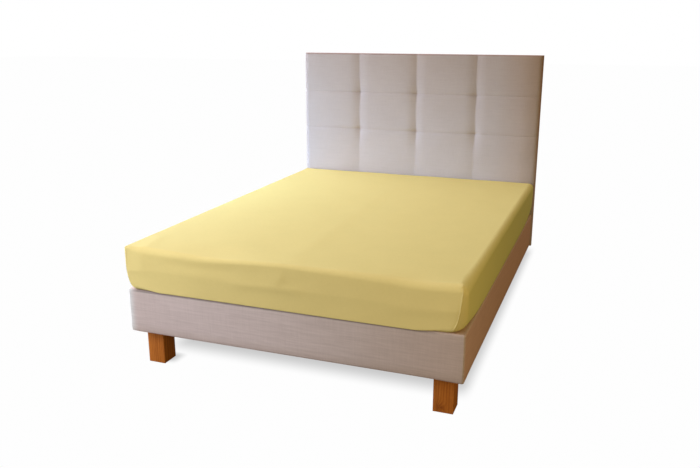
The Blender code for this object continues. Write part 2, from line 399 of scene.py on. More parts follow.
class Bench:
    """The node tree of one material or world, with the one method that adds its nodes."""

    def __init__(self, name: str, world: bool = False) -> None:
        """Starts an empty tree.

        Args:
            name: The name of its material or world.
            world: Whether it is a world.
        """
        self.end_kind = "ShaderNodeOutputWorld" if world else "ShaderNodeOutputMaterial"
        self.material = (bpy.data.worlds if world else bpy.data.materials).new(name)
        self.material.use_nodes = True
        self.tree = self.material.node_tree
        self.tree.nodes.clear()

    def node(
        self,
        kind: str,
        settings: Mapping[str, Any] | None = None,
        sockets: Mapping[str | int, Any] | None = None,
        out: str | int = 0,
    ) -> Wire:
        """Adds a node.

        Args:
            kind: Its type.
            settings: What is set on the node before its sockets; "stops" are a ramp's.
            sockets: The wire or the value of each input; a colour is given without its alpha.
            out: Which output is wanted.

        Returns:
            The wire from that output.
        """
        made = self.tree.nodes.new(kind)
        for key, value in (settings or {}).items():
            if key == "stops":
                self._set_stops(made.color_ramp, value)
            else:
                setattr(made, key, value)
        for key, value in (sockets or {}).items():
            socket = made.inputs[key]
            if isinstance(value, Wire):
                self.tree.links.new(value.socket, socket)
            else:
                socket.default_value = (*value, 1.0) if socket.type == "RGBA" else value
        return Wire(self, made.outputs[out])

    @staticmethod
    def _set_stops(ramp: bpy.types.ColorRamp, stops: Sequence[tuple[float, Colour]]) -> None:
        """Gives a ramp its stops.

        Args:
            ramp: A new ramp, with a stop at each end.
            stops: Places and colours, in rising order.
        """
        for place, _ in stops[1:-1]:
            ramp.elements.new(place)
        for element, (place, colour) in zip(ramp.elements, stops):
            element.position = place
            element.color = (*colour, 1.0)

    def sum(self, operation: str, left: Any, right: Any) -> Wire:
        """Adds a Math node."""
        return self.node("ShaderNodeMath", {"operation": operation}, {0: left, 1: right})

    def held(self, value: Wire) -> Wire:
        """The value, held from 0 to 1."""
        return self.node("ShaderNodeClamp", {}, {"Value": value})

    def sine(self, value: Wire) -> Wire:
        """The sine of an angle."""
        return self.node("ShaderNodeMath", {"operation": "SINE"}, {0: value})

    def place(self) -> Wire:
        """The place on the piece, in metres."""
        return self.node("ShaderNodeTexCoord", out="Object")

    def cloth(self) -> Wire:
        """The place on the piece's flat cloth, in metres."""
        return self.node("ShaderNodeUVMap", {"uv_map": CLOTH_MAP})

    def axes(self, place: Wire) -> list[Wire]:
        """The three coordinates of a place."""
        return [self.node("ShaderNodeSeparateXYZ", {}, {0: place}, out=axis) for axis in "XYZ"]

    def noise(
        self, place: Wire, scale: Triple, detail: float = 2.0, roughness: float = 0.5,
        twist: float = 0.0, shift: Triple = (0.0, 0.0, 0.0),
    ) -> Wire:
        """Adds a noise.

        Args:
            place: Where it is read.
            scale: Its features in a metre, along each axis.
            detail: How many finer layers it has.
            roughness: How strong they are.
            twist: How much it is distorted.
            shift: How far the place is moved first.

        Returns:
            Its value, about 0.5 on the whole.
        """
        moved = self.node("ShaderNodeVectorMath", {"operation": "ADD"}, {0: place, 1: shift})
        scaled = self.node("ShaderNodeVectorMath", {"operation": "MULTIPLY"}, {0: moved, 1: scale})
        sockets = {"Vector": scaled, "Scale": 1.0, "Detail": detail}
        sockets |= {"Roughness": roughness, "Distortion": twist}
        return self.node("ShaderNodeTexNoise", {}, sockets)

    def blend(self, first: Any, second: Any, factor: Any, mode: str = "MIX") -> Wire:
        """Adds a Mix node for colours.

        Args:
            first: The colour below.
            second: The colour above.
            factor: How much of the second one.
            mode: How they are blended.

        Returns:
            The mixed colour.
        """
        settings = {"data_type": "RGBA", "blend_type": mode}
        return self.node("ShaderNodeMix", settings, {0: factor, 6: first, 7: second}, out=2)

    def tinted(self, colour: Any, tint: Any) -> Wire:
        """The colour times a tint or a tone."""
        return self.blend(colour, tint, 1.0, "MULTIPLY")

    def close(self, surface: Wire) -> None:
        """Ends the tree in its output."""
        end = self.tree.nodes.new(self.end_kind)
        self.tree.links.new(surface.socket, end.inputs["Surface"])

    def finish(
        self, colour: Wire, roughness: Any, height: Wire, depth: float, fixed: Mapping[str, Any]
    ) -> bpy.types.Material:
        """Ends the tree in a Principled shader.

        Args:
            colour: The base colour.
            roughness: The roughness.
            height: What the bump is made of, from 0 to 1.
            depth: The bump's depth in metres.
            fixed: The shader's own sockets that hold one value.

        Returns:
            The material.
        """
        bump = self.node("ShaderNodeBump", {}, {"Strength": 1.0, "Distance": depth, "Height": height})
        sockets = {"Base Color": colour, "Roughness": roughness, "Normal": bump, **fixed}
        self.close(self.node("ShaderNodeBsdfPrincipled", {}, sockets))
        return self.material


@dataclass(frozen=True)
class Ramp:
    """A rise from 0 to 1 along one axis, or a fall where its end lies below its start."""

    axis: Axis
    start: float
    end: float
    power: float = 1.0
    floor: float = 0.0
    hump: bool = False

    def at(self, bench: Bench, place: Sequence[Wire]) -> Wire:
        """How high the ramp is.

        Args:
            bench: The material's bench.
            place: The three coordinates.

        Returns:
            The share from 0 to 1; a hump is 1 in the middle and 0 at both ends.
        """
        share = bench.held((place[self.axis.value] - self.start) / (self.end - self.start))
        if self.hump:
            share = bench.sine(share * math.pi)
        if self.power != 1.0:
            share = share**self.power
        return share * (1 - self.floor) + self.floor if self.floor else share


@dataclass(frozen=True)
class Tint:
    """A painted light or painted shade that a cloth takes on where all of its ramps are high."""

    colour: Colour
    ramps: tuple[Ramp, ...]
    elsewhere: Colour = WHITE

    def at(self, bench: Bench, place: Sequence[Wire]) -> Wire:
        """The tint by place.

        Args:
            bench: The material's bench.
            place: The three coordinates.

        Returns:
            The colour by which the cloth's own is multiplied.
        """
        share = self.ramps[0].at(bench, place)
        for ramp in self.ramps[1:]:
            share = share * ramp.at(bench, place)
        return bench.blend(self.elsewhere, self.colour, share)


# ---------------------------------------------------------------- finishes


@dataclass(frozen=True)
class SheetCotton:
    """Plain-woven combed cotton, dyed soft yellow."""

    colour: Colour = (0.865, 0.695, 0.288)
    yarns_per_metre: float = 1500.0
    yarn_run: float = 45.0
    clouds_per_metre: float = 7.0
    mottle_per_metre: float = 70.0
    mottle_share: float = 0.8
    crumples_per_metre: float = 60.0
    crumple_share: float = 0.25
    tone: float = 0.96
    tone_change: float = 0.05
    roughness: float = 0.86
    roughness_change: float = 0.1
    bloom: Colour = (0.62, 1.0, 0.22)
    bump_depth: float = 0.00025

    def make(self) -> bpy.types.Material:
        """Weaves the cotton along the cloth's own map.

        Returns:
            The material.
        """
        bench = Bench("sheet_cotton")
        cloth = bench.cloth()
        warp = bench.noise(cloth, (self.yarns_per_metre, self.yarn_run, 1), 1.0)
        weft = bench.noise(cloth, (self.yarn_run, self.yarns_per_metre, 1), 1.0)
        clouds = bench.noise(cloth, (self.clouds_per_metre,) * 3, 3.0, 0.55)
        mottle = bench.noise(cloth, (self.mottle_per_metre,) * 3, 2.0, 0.6)
        crumple = bench.noise(cloth, (self.crumples_per_metre, self.crumples_per_metre, 1))
        yarns = (warp + weft) * 0.5
        uneven = (yarns - 0.5) * 2 + (clouds - 0.5) + (mottle - 0.5) * self.mottle_share
        tone = bench.held(uneven * self.tone_change + self.tone)
        roughness = (yarns - 0.5) * self.roughness_change + self.roughness
        height = yarns * (1 - self.crumple_share) + crumple * self.crumple_share
        fixed = {"Sheen Weight": 0.18, "Sheen Roughness": 0.6, "Specular IOR Level": 0.25}
        fixed |= {"Sheen Tint": self.bloom}
        return bench.finish(bench.tinted(self.colour, tone), roughness, height, self.bump_depth, fixed)


@dataclass(frozen=True)
class Thread:
    """Sewing thread, twisted, in the cloth's own colour or a little lighter."""

    name: str
    colour: Colour
    twists_per_metre: float = 1800.0
    bump_depth: float = 0.0001

    def make(self) -> bpy.types.Material:
        """Twists the thread.

        Returns:
            The material.
        """
        bench = Bench(self.name)
        twist = bench.noise(bench.place(), (self.twists_per_metre,) * 3, 1.0)
        colour = bench.tinted(self.colour, bench.held(twist * 0.3 + 0.8))
        return bench.finish(colour, 0.7 + twist * 0.1, twist, self.bump_depth, {"Sheen Weight": 0.2})


@dataclass(frozen=True)
class UpholsteryLinen:
    """Linen-like upholstery cloth, with thick and thin yarns both ways."""

    name: str
    light: Colour
    dark: Colour
    unevenness: float
    # painted light and painted shade, each laid on by its place on the bed
    painted_light_tints: tuple[Tint, ...]
    yarns_per_metre: float = 620.0
    slub_run: float = 16.0
    slub_scale: Triple = (6, 115, 1)
    slub_shift: Triple = (3.1, 1.7, 0)
    slub_share: float = 1.45
    streak_scale: Triple = (125, 5, 1)
    streak_shift: Triple = (5.3, 0.4, 0)
    streak_share: float = 0.55
    cloud_scale: Triple = (5, 5, 1)
    cloud_share: float = 0.3
    yarn_share: float = 1.1
    roughness: float = 0.9
    roughness_change: float = 0.1
    bloom: Colour = (1.0, 0.30, 0.12)
    bump_depth: float = 0.0005

    def make(self) -> bpy.types.Material:
        """Weaves the linen along the cloth's own map, and paints light and shade into it by its place on
        the bed.

        Returns:
            The material.
        """
        bench = Bench(self.name)
        cloth = bench.cloth()
        level = bench.noise(cloth, (self.slub_run, self.yarns_per_metre, 1), 2.0, 0.6)
        upright = bench.noise(cloth, (self.yarns_per_metre, self.slub_run, 1), 2.0, 0.6)
        slubs = bench.noise(cloth, self.slub_scale, 4.0, 0.65, shift=self.slub_shift)
        streaks = bench.noise(cloth, self.streak_scale, 4.0, 0.65, shift=self.streak_shift)
        clouds = bench.noise(cloth, self.cloud_scale)
        yarns = (level + upright) * 0.5
        uneven = ((slubs - 0.5) * self.slub_share + (streaks - 0.5) * self.streak_share) * self.unevenness
        tone = (yarns - 0.5) * self.yarn_share + uneven + (clouds - 0.5) * self.cloud_share + 0.5
        colour = bench.blend(self.dark, self.light, bench.held(tone))
        place = bench.axes(bench.place())
        # paints light and shade into the cloth's colour by place
        for tint in self.painted_light_tints:
            colour = bench.tinted(colour, tint.at(bench, place))
        roughness = (yarns - 0.5) * self.roughness_change + self.roughness
        height = yarns * 0.7 + (slubs + streaks) * 0.15
        fixed = {"Sheen Weight": 0.36, "Sheen Roughness": 0.5, "Specular IOR Level": 0.2}
        fixed |= {"Sheen Tint": self.bloom}
        return bench.finish(colour, roughness, height, self.bump_depth, fixed)


BASE_LINEN = UpholsteryLinen(
    name="upholstery_linen",
    light=(0.648, 0.551, 0.541),
    dark=(0.488, 0.407, 0.401),
    unevenness=1.0,
    painted_light_tints=(
        # Painted shade low down, a warm painted shade on the right side, painted light in the middle of the
        # front, and a darker, warmer painted shade towards the front's right end
        Tint((0.85, 0.83, 0.80), (Ramp(Axis.Z, 0.21, 0.165),)),
        Tint((1.099, 0.960, 0.983), (Ramp(Axis.X, 0.7515, 0.754),)),
        Tint((1.13, 1.15, 1.185), (Ramp(Axis.X, -0.75, 0.40, hump=True),)),
        Tint((0.94, 0.885, 0.84), (Ramp(Axis.X, 0.30, 0.70),)),
        # Painted highlight at the left foot corner
        Tint((1.25, 1.55, 1.60), (Ramp(Axis.X, -0.712, -0.7537, power=1.5), Ramp(Axis.Y, -0.98, -1.02))),
        # Painted shadow in the crease under the sheet's hem, along the foot
        Tint(
            (0.50, 0.50, 0.50),
            (
                Ramp(Axis.Z, 0.352, 0.358), Ramp(Axis.Y, -1.00, -1.02),
                Ramp(Axis.X, 0.66, 0.56), Ramp(Axis.X, -0.745, -0.705),
            ),
        ),
    ),
)
HEADBOARD_LINEN = UpholsteryLinen(
    name="headboard_linen",
    light=(0.496, 0.435, 0.408),
    dark=(0.374, 0.323, 0.302),
    unevenness=0.28,
    painted_light_tints=(
        # Painted light and shade: lighter and cooler low down, lighter in the low middle, darker and warmer
        # towards the top and the right
        Tint((0.90, 0.87, 0.84), (Ramp(Axis.Z, 0.60, 1.30),), elsewhere=(1.08, 1.12, 1.20)),
        Tint((1.06, 1.12, 1.20), (Ramp(Axis.X, -0.45, 0.85, hump=True), Ramp(Axis.Z, 1.30, 0.60))),
        Tint((0.94, 0.785, 0.63), (Ramp(Axis.X, 0.50, 0.75), Ramp(Axis.Z, 0.60, 1.30, floor=0.54))),
        # Warm painted shade on its right side
        Tint((1.099, 0.960, 0.983), (Ramp(Axis.X, 0.7515, 0.754),)),
        # Painted shade, a little darker along its top rim
        Tint((0.76, 0.76, 0.76), (Ramp(Axis.Z, 1.309, 1.318),)),
    ),
)


@dataclass(frozen=True)
class LiningCloth:
    """The thin felted cloth that closes the underside and the back."""

    colour: Colour = (0.30, 0.28, 0.26)
    fibres_per_metre: float = 700.0
    dimples_per_metre: float = 240.0
    bump_depth: float = 0.0003

    def make(self) -> bpy.types.Material:
        """Felts the lining.

        Returns:
            The material.
        """
        bench = Bench("lining_cloth")
        place = bench.place()
        fibres = bench.noise(place, (self.fibres_per_metre,) * 3, 3.0, 0.7, 1.5)
        dimples = bench.noise(place, (self.dimples_per_metre,) * 3, 1.0)
        colour = bench.tinted(self.colour, bench.held(fibres * 0.5 + dimples * 0.25 + 0.6))
        fixed = {"Specular IOR Level": 0.2}
        return bench.finish(colour, 0.92 + fibres * 0.05, fibres, self.bump_depth, fixed)


@dataclass(frozen=True)
class Ticking:
    """White mattress ticking with small quilted diamonds."""

    colour: Colour = (0.80, 0.79, 0.76)
    diamond: float = 0.06
    yarns_per_metre: float = 900.0
    bump_depth: float = 0.002

    def make(self) -> bpy.types.Material:
        """Quilts the ticking.

        Returns:
            The material.
        """
        bench = Bench("mattress_ticking")
        place = bench.place()
        x, y, _ = bench.axes(place)
        turn = math.pi / self.diamond
        quilt = bench.sine((x + y) * turn) * bench.sine((x - y) * turn)
        yarn = bench.noise(place, (self.yarns_per_metre,) * 3, 1.0)
        colour = bench.tinted(self.colour, bench.held(0.94 + (yarn - 0.5) * 0.1 + quilt * 0.02))
        fixed = {"Sheen Weight": 0.1}
        return bench.finish(colour, 0.88 + yarn * 0.05, quilt * 0.45 + 0.5, self.bump_depth, fixed)


@dataclass(frozen=True)
class LegWood:
    """Oiled orange-brown wood, its grain upright, with one small knot near a foot."""

    light: Colour = (0.70, 0.245, 0.046)
    middle: Colour = (0.53, 0.158, 0.020)
    dark: Colour = (0.30, 0.072, 0.008)
    knot: Triple = (0.655, -0.975, 0.022)
    knot_reach: float = 0.035
    rings_turn: float = 620.0  # radians in a metre across the rings
    ring_share: float = 0.12
    figure_share: float = 0.85
    bump_depth: float = 0.0004

    def make(self) -> bpy.types.Material:
        """Grows the wood's rings, figure and pores.

        Returns:
            The material.
        """
        bench = Bench("leg_wood")
        place = bench.place()
        x, y, _ = bench.axes(place)
        distance = {"operation": "DISTANCE"}
        away = bench.node("ShaderNodeVectorMath", distance, {0: place, 1: self.knot}, out="Value")
        pull = bench.held(1 - away / self.knot_reach) ** 1.5
        wander = bench.noise(place, (9, 9, 2.2))
        across = x + y * 0.6 + wander * 0.035 + pull * 0.02
        rings = bench.sine(across * self.rings_turn + bench.noise(place, (30, 30, 3)) * 5.0)
        figure = bench.noise(place, (110, 110, 5), 4.0, 0.6, 0.4)
        pores = bench.noise(place, (1400, 1400, 60), 2.0, 0.6)
        grain = bench.held(rings * self.ring_share + figure * self.figure_share + 0.08 - pull * 0.35)
        stops = ((0.0, self.dark), (0.45, self.middle), (1.0, self.light))
        colour = bench.node("ShaderNodeValToRGB", {"stops": stops}, {"Fac": grain})
        colour = bench.tinted(colour, bench.held(0.85 + (pores - 0.4) * 0.6))
        roughness = 0.46 + (1 - grain) * 0.14
        height = grain * 0.5 + pores * 0.5
        return bench.finish(colour, roughness, height, self.bump_depth, {"Specular IOR Level": 0.25})


@dataclass(frozen=True)
class Finishes:
    """Every material of the bed, made once."""

    cotton: bpy.types.Material
    cotton_thread: bpy.types.Material
    linen: bpy.types.Material
    head_linen: bpy.types.Material
    linen_thread: bpy.types.Material
    lining: bpy.types.Material
    ticking: bpy.types.Material
    wood: bpy.types.Material

    @classmethod
    def mixed(cls) -> "Finishes":
        """Makes them all.

        Returns:
            The set of materials.
        """
        return cls(
            cotton=SheetCotton().make(),
            cotton_thread=Thread("sheet_thread", (0.88, 0.74, 0.40)).make(),
            linen=BASE_LINEN.make(),
            head_linen=HEADBOARD_LINEN.make(),
            linen_thread=Thread("upholstery_thread", (0.42, 0.35, 0.32)).make(),
            lining=LiningCloth().make(),
            ticking=Ticking().make(),
            wood=LegWood().make(),
        )


# ---------------------------------------------------------------- what repeats


class Unit(Enum):
    """What is repeated along a path, by the node that makes it."""

    STITCH = "GeometryNodeMeshUVSphere"
    STAPLE = "GeometryNodeMeshCube"


@dataclass(frozen=True)
class PathRow:
    """Stitches or staples laid at even steps along paths, by Geometry Nodes."""

    unit: Unit
    pitch: float
    length: float
    thickness: float
    seed: int = 3
    shortest: float = 0.85
    longest: float = 1.1

    def tree(self, finish: bpy.types.Material) -> bpy.types.NodeTree:
        """Builds the node tree.

        Args:
            finish: The material of every unit.

        Returns:
            The tree, from the paths to real meshes.
        """
        tree = bpy.data.node_groups.new(f"row_of_{self.unit.name.lower()}", "GeometryNodeTree")
        tree.interface.new_socket("Paths", in_out="INPUT", socket_type="NodeSocketGeometry")
        for name in self.sizes():
            tree.interface.new_socket(name, in_out="INPUT", socket_type="NodeSocketFloat")
        tree.interface.new_socket("Rows", in_out="OUTPUT", socket_type="NodeSocketGeometry")
        kinds = {
            "in": "NodeGroupInput",
            "curve": "GeometryNodeMeshToCurve",
            "steps": "GeometryNodeResampleCurve",
            "unit": self.unit.value,
            "tangent": "GeometryNodeInputTangent",
            "turn": "FunctionNodeAlignRotationToVector",
            "jitter": "FunctionNodeRandomValue",
            "long": "ShaderNodeMath",
            "size": "ShaderNodeCombineXYZ",
            "place": "GeometryNodeInstanceOnPoints",
            "real": "GeometryNodeRealizeInstances",
            "finish": "GeometryNodeSetMaterial",
            "out": "NodeGroupOutput",
        }
        made = {key: tree.nodes.new(kind) for key, kind in kinds.items()}
        made["steps"].mode = "LENGTH"
        made["turn"].axis = "Z"
        made["jitter"].data_type = "FLOAT"
        made["long"].operation = "MULTIPLY"
        values = [("jitter", 2, self.shortest), ("jitter", 3, self.longest), ("jitter", "Seed", self.seed)]
        values += [("finish", "Material", finish)]
        if self.unit is Unit.STITCH:
            values += [("unit", "Segments", 6), ("unit", "Rings", 5), ("unit", "Radius", 0.5)]
        for key, socket, value in values:
            made[key].inputs[socket].default_value = value
        links = (
            ("in", "Paths", "curve", 0), ("curve", 0, "steps", 0), ("in", "Pitch", "steps", "Length"),
            ("steps", 0, "place", "Points"), ("unit", 0, "place", "Instance"),
            ("tangent", 0, "turn", "Vector"), ("turn", 0, "place", "Rotation"),
            ("in", "Length", "long", 0), ("jitter", 1, "long", 1),
            ("in", "Thickness", "size", 0), ("in", "Thickness", "size", 1), ("long", 0, "size", 2),
            ("size", 0, "place", "Scale"), ("place", 0, "real", 0), ("real", 0, "finish", 0),
            ("finish", 0, "out", 0),
        )
        for start, out, end, into in links:
            tree.links.new(made[start].outputs[out], made[end].inputs[into])
        return tree

    def sizes(self) -> dict[str, float]:
        """The tree's named sizes."""
        return {"Pitch": self.pitch, "Length": self.length, "Thickness": self.thickness}

    def lay(self, name: str, paths: Sequence[Array], finish: bpy.types.Material) -> bpy.types.Object:
        """Lays the units along paths.

        Args:
            name: The piece's name.
            paths: Points of each path, in order.
            finish: The material of every unit.

        Returns:
            The piece, as one plain mesh.
        """
        edges, count = [], 0
        for path in paths:
            edges += [(index, index + 1) for index in range(count, count + len(path) - 1)]
            count += len(path)
        guide = bpy.data.meshes.new(name + "_path")
        guide.from_pydata(np.concatenate(paths).tolist(), edges, [])
        piece = bpy.data.objects.new(name, guide)
        bpy.context.scene.collection.objects.link(piece)
        tree = self.tree(finish)
        row = piece.modifiers.new("Row", "NODES")
        row.node_group = tree
        sizes = self.sizes()
        for item in tree.interface.items_tree:
            if item.name in sizes:
                row[item.identifier] = sizes[item.name]
        graph = bpy.context.evaluated_depsgraph_get()
        graph.update()
        real = bpy.data.meshes.new_from_object(piece.evaluated_get(graph))
        piece.modifiers.clear()
        piece.data = real
        real.name = name
        real.shade_smooth()
        bpy.data.meshes.remove(guide)
        bpy.data.node_groups.remove(tree)
        return piece


# ---------------------------------------------------------------- the sheet and its mattress


@dataclass(frozen=True)
class Wrap:
    """One skin over the mattress's form: how far inside the outside it lies, its levels and its hem."""

    inset: float
    bottom: float
    top: float
    tuck: float
    droops: bool = False


@dataclass(frozen=True)
class Dip:
    """Where the top sinks at its edge, measured from the middle of the foot edge."""

    along: float
    inward: float
    width: float
    reach: float
    depth: float

    def at(self, x: Array, y: Array) -> Array:
        """How far the top sinks at each place."""
        return self.depth * bell(x - self.along, self.width) * bell(y - self.inward, self.reach)


@dataclass(frozen=True)
class Bend:
    """How far an upright corner is rounded in plan, from its top down to its drawn-in hem."""

    top: float
    bottom: float
    height: float
    power: float

    def at(self, raised: Array) -> Array:
        """The radius at each height above the hem."""
        drawn = np.maximum(1 - raised / self.height, 0.0)
        return between(self.top, self.bottom, drawn**self.power)


@dataclass(frozen=True)
class Columns:
    """Lines of points over the form, counter-clockwise from the foot's left end."""

    turn: Array
    across: Array
    along: Array
    from_seam: Array

    def near_corner(self, form: "BedForm") -> Array:
        """How near a corner each column is.

        Args:
            form: The bed's form.

        Returns:
            1 at a corner, fading to 0 along the sides.
        """
        long_side = np.abs(self.turn[:, 0]) > 0.99
        away_long = (1 - np.abs(self.along)) * form.length / 2 / form.corner_reach_long
        away_short = (1 - np.abs(self.across)) * form.width / 2 / form.corner_reach_short
        return smooth_step(1 - np.where(long_side & (np.abs(self.along) < 1), away_long, away_short))


@dataclass(frozen=True)
class Skin:
    """Rings of points over the form, their outward directions and their places on the flat cloth."""

    points: Array
    outward: Array
    cloth: Array


@dataclass(frozen=True)
class BedForm:
    """The form of the mattress in its sheet: its outline, edges, dips and drawn-in corners."""

    width: float = 1.514
    base_width: float = 1.51
    length: float = 2.0023
    base_length: float = 1.992
    foot_y: float = -1.0325
    base_top: float = 0.365
    height: float = 0.196
    gap: float = 0.0003
    tuck: float = 0.100
    left_radius: float = 0.012
    end_radius: float = 0.015
    foot_radius: float = 0.030
    crisp_foot_radius: float = 0.017
    crisp_place: Point = (-0.06, 0.38)
    right_radius: float = 0.029
    right_corner_growth: float = 0.010
    right_growth_reach: float = 0.22
    corner_top_radius: float = 0.010
    low_radius: float = 0.005
    corner_low_radius: float = 0.018
    left_corner: Bend = Bend(top=0.012, bottom=0.030, height=0.120, power=1.5)
    right_corner: Bend = Bend(top=0.024, bottom=0.055, height=0.180, power=1.0)
    sharpest_radius: float = 0.003
    seam_share: float = 0.22
    ridge_level: float = 0.458
    ridge_softness: float = 0.008
    lean_above: float = 0.06
    lean_below: float = 0.060
    lean_reach_above: float = 0.10
    lean_reach_below: float = 0.024
    hem_pull: float = 0.028
    hem_pull_height: float = 0.024
    hem_pull_reach: float = 0.10
    right_hem_pull: float = 0.006
    right_hem_height: float = 0.012
    droop: Point = (0.0035, 0.0075)
    droop_height: float = 0.030
    droop_inset: float = 0.0025
    droop_end_fade: float = 0.07
    corner_reach_long: float = 0.40
    corner_reach_short: float = 0.14
    field_inset: float = 0.045
    dips: tuple[Dip, ...] = (
        Dip(along=-0.36, inward=0.00, width=0.20, reach=0.10, depth=0.0105),
        Dip(along=0.58, inward=0.00, width=0.13, reach=0.08, depth=0.0080),
    )

    @property
    def centre_y(self) -> float:
        """The middle of the bed, from foot to head."""
        return self.foot_y + self.length / 2

    def sunk(self, x: Array, y: Array) -> Array:
        """How far the top sinks at each place, measured from the middle of the foot edge."""
        return sum(dip.at(x, y) for dip in self.dips)

    def columns(self, across: Array, along: Array, corner_steps: int, crowding: float = 1.0) -> Columns:
        """Lays out the columns.

        Args:
            across: Their places along the foot, from -1 to 1.
            along: Their places along a side, from -1 to 1.
            corner_steps: How many spaces each corner has.
            crowding: The power that draws a corner's columns towards its seam.

        Returns:
            The columns all round the bed.
        """
        even = np.linspace(-1, 1, corner_steps + 1)[1:-1]
        eased = np.sign(even) * np.abs(even) ** crowding
        from_end = self.seam_share + eased * np.where(eased < 0, self.seam_share, 1 - self.seam_share)
        from_side = (1 - from_end)[::-1]
        turns, acrosses, alongs, seams = [], [], [], []
        wide, tall = np.ones(len(across)), np.ones(len(along))
        sides = (
            ((0, -1), across, -wide, from_end, self.seam_share),
            ((1, 0), tall, along, from_side, 1 - self.seam_share),
            ((0, 1), across[::-1], wide, from_end, self.seam_share),
            ((-1, 0), -tall, along[::-1], from_side, 1 - self.seam_share),
        )
        for (turn_x, turn_y), x_places, y_places, shares, seam in sides:
            start = math.atan2(turn_y, turn_x)
            angles = start + math.pi / 2 * shares
            turns += [np.tile((turn_x, turn_y), (len(x_places), 1)).astype(float)]
            turns += [np.stack([np.cos(angles), np.sin(angles)], axis=1)]
            acrosses += [x_places, np.full(len(angles), x_places[-1])]
            alongs += [y_places, np.full(len(angles), y_places[-1])]
            seams += [np.full(len(x_places), NO_SEAM), (shares - seam) * math.pi / 2]
        return Columns(*(np.concatenate(part) for part in (turns, acrosses, alongs, seams)))

    def profile(self, columns: Columns, wrap: Wrap, steps: Steps) -> tuple[Array, Array, Array]:
        """Every column's line over the top edge, down the side and in underneath.

        Args:
            columns: The columns.
            wrap: The skin.
            steps: Spaces on the top edge, the side, the low edge and the tuck.

        Returns:
            Insets, heights and the angle that the skin has turned down by, each levels by columns.
        """
        near = columns.near_corner(self)
        place_x = columns.across * self.width / 2
        place_y = (columns.along + 1) * self.length / 2
        top = wrap.top - self.sunk(place_x, place_y)
        leftward = np.maximum(-columns.turn[:, 0], 0) * (self.left_radius - self.end_radius)
        grown = self.right_corner_growth * bell(place_y, self.right_growth_reach)
        rightward = np.maximum(columns.turn[:, 0], 0) * (self.right_radius - self.end_radius + grown)
        crisp = bell(place_x - self.crisp_place[0], self.crisp_place[1])
        foot_radius = between(self.foot_radius, self.crisp_foot_radius, crisp)
        footward = np.maximum(-columns.turn[:, 1], 0) * (foot_radius - self.end_radius)
        sharp = near**4 * (columns.across < 0)
        softened = self.end_radius + leftward + rightward + footward
        round_top = between(softened, self.corner_top_radius, sharp) - wrap.inset
        round_low = between(self.low_radius, self.corner_low_radius, near) - wrap.inset
        edge, side, low, tuck = steps
        over = np.linspace(0, math.pi / 2, edge + 1)[:, None]
        down = np.linspace(0, 1, side + 1)[1:-1, None]
        under = np.linspace(0, math.pi / 2, low + 1)[:, None]
        inward = np.linspace(0, 1, tuck + 1)[1:, None]
        inset = np.concatenate([
            round_top * (1 - np.sin(over)),
            np.zeros_like(down * top),
            round_low * (1 - np.cos(under)),
            between(round_low, wrap.tuck, inward),
        ])
        height = np.concatenate([
            top - round_top * (1 - np.cos(over)),
            between(top - round_top, wrap.bottom + round_low, down),
            wrap.bottom + round_low * (1 - np.sin(under)),
            np.full_like(inward * top, wrap.bottom),
        ])
        quarter, half = np.full_like(down, math.pi / 2), np.full_like(inward, math.pi)
        turned = np.repeat(np.concatenate([over, quarter, math.pi / 2 + under, half]), len(top), axis=1)
        if wrap.droops:
            height = height - self.drooped(columns, inset, height - wrap.bottom)
        return inset + wrap.inset + self.lean(height) * columns.turn[:, 1] ** 2, height, turned

    def drooped(self, columns: Columns, inset: Array, raised: Array) -> Array:
        """How far the foot's hem hangs below the mattress, over the base's rounded edge.

        Args:
            columns: The columns.
            inset: How far the points lie inside the outside.
            raised: Their heights above the mattress's underside.

        Returns:
            The droop at each point.
        """
        place_x = columns.across * self.width / 2
        deep = between(*self.droop, smooth_step(place_x + 0.5))
        at_foot = np.maximum(-columns.turn[:, 1], 0) ** 2
        at_foot = at_foot * smooth_step((self.width / 2 - np.abs(place_x)) / self.droop_end_fade)
        low_down = np.exp(-np.maximum(raised, 0) / self.droop_height)
        return deep * at_foot * bell(inset, self.droop_inset) * low_down

    def lean(self, height: Array) -> Array:
        """How far the foot and the head lean in above and below their ridge.

        Args:
            height: Heights of the points.

        Returns:
            The lean at each height.
        """
        off = height - self.ridge_level
        away = np.sqrt(off**2 + self.ridge_softness**2) - self.ridge_softness
        reach = np.where(off > 0, self.lean_reach_above, self.lean_reach_below)
        slope = np.where(off > 0, self.lean_above, self.lean_below)
        return slope * reach * (1 - np.exp(-away / reach))

    def corner_bend(self, columns: Columns, height: Array, bottom: float) -> Array:
        """The radius in plan of the corner that each column belongs to.

        Args:
            columns: The columns.
            height: Heights of the points, levels by columns.
            bottom: The hem's height.

        Returns:
            The radius at each point.
        """
        raised = height - bottom
        rightward = smooth_step(columns.across / 2 + 0.5)
        return between(self.left_corner.at(raised), self.right_corner.at(raised), rightward)

    def hem_draw(self, columns: Columns, height: Array, bottom: float) -> Array:
        """How far the long sides' hems are drawn in, most of all near the corners.

        Args:
            columns: The columns.
            height: Heights of the points, levels by columns.
            bottom: The hem's height.

        Returns:
            The draw across the bed at each point.
        """
        from_corner = (1 - np.abs(columns.along)) * self.length / 2
        raised = np.maximum(height - bottom, 0)
        at_corner = np.exp(-raised / self.hem_pull_height - from_corner / self.hem_pull_reach)
        at_right = np.maximum(columns.turn[:, 0], 0) * np.exp(-raised / self.right_hem_height)
        return self.hem_pull * at_corner + self.right_hem_pull * at_right

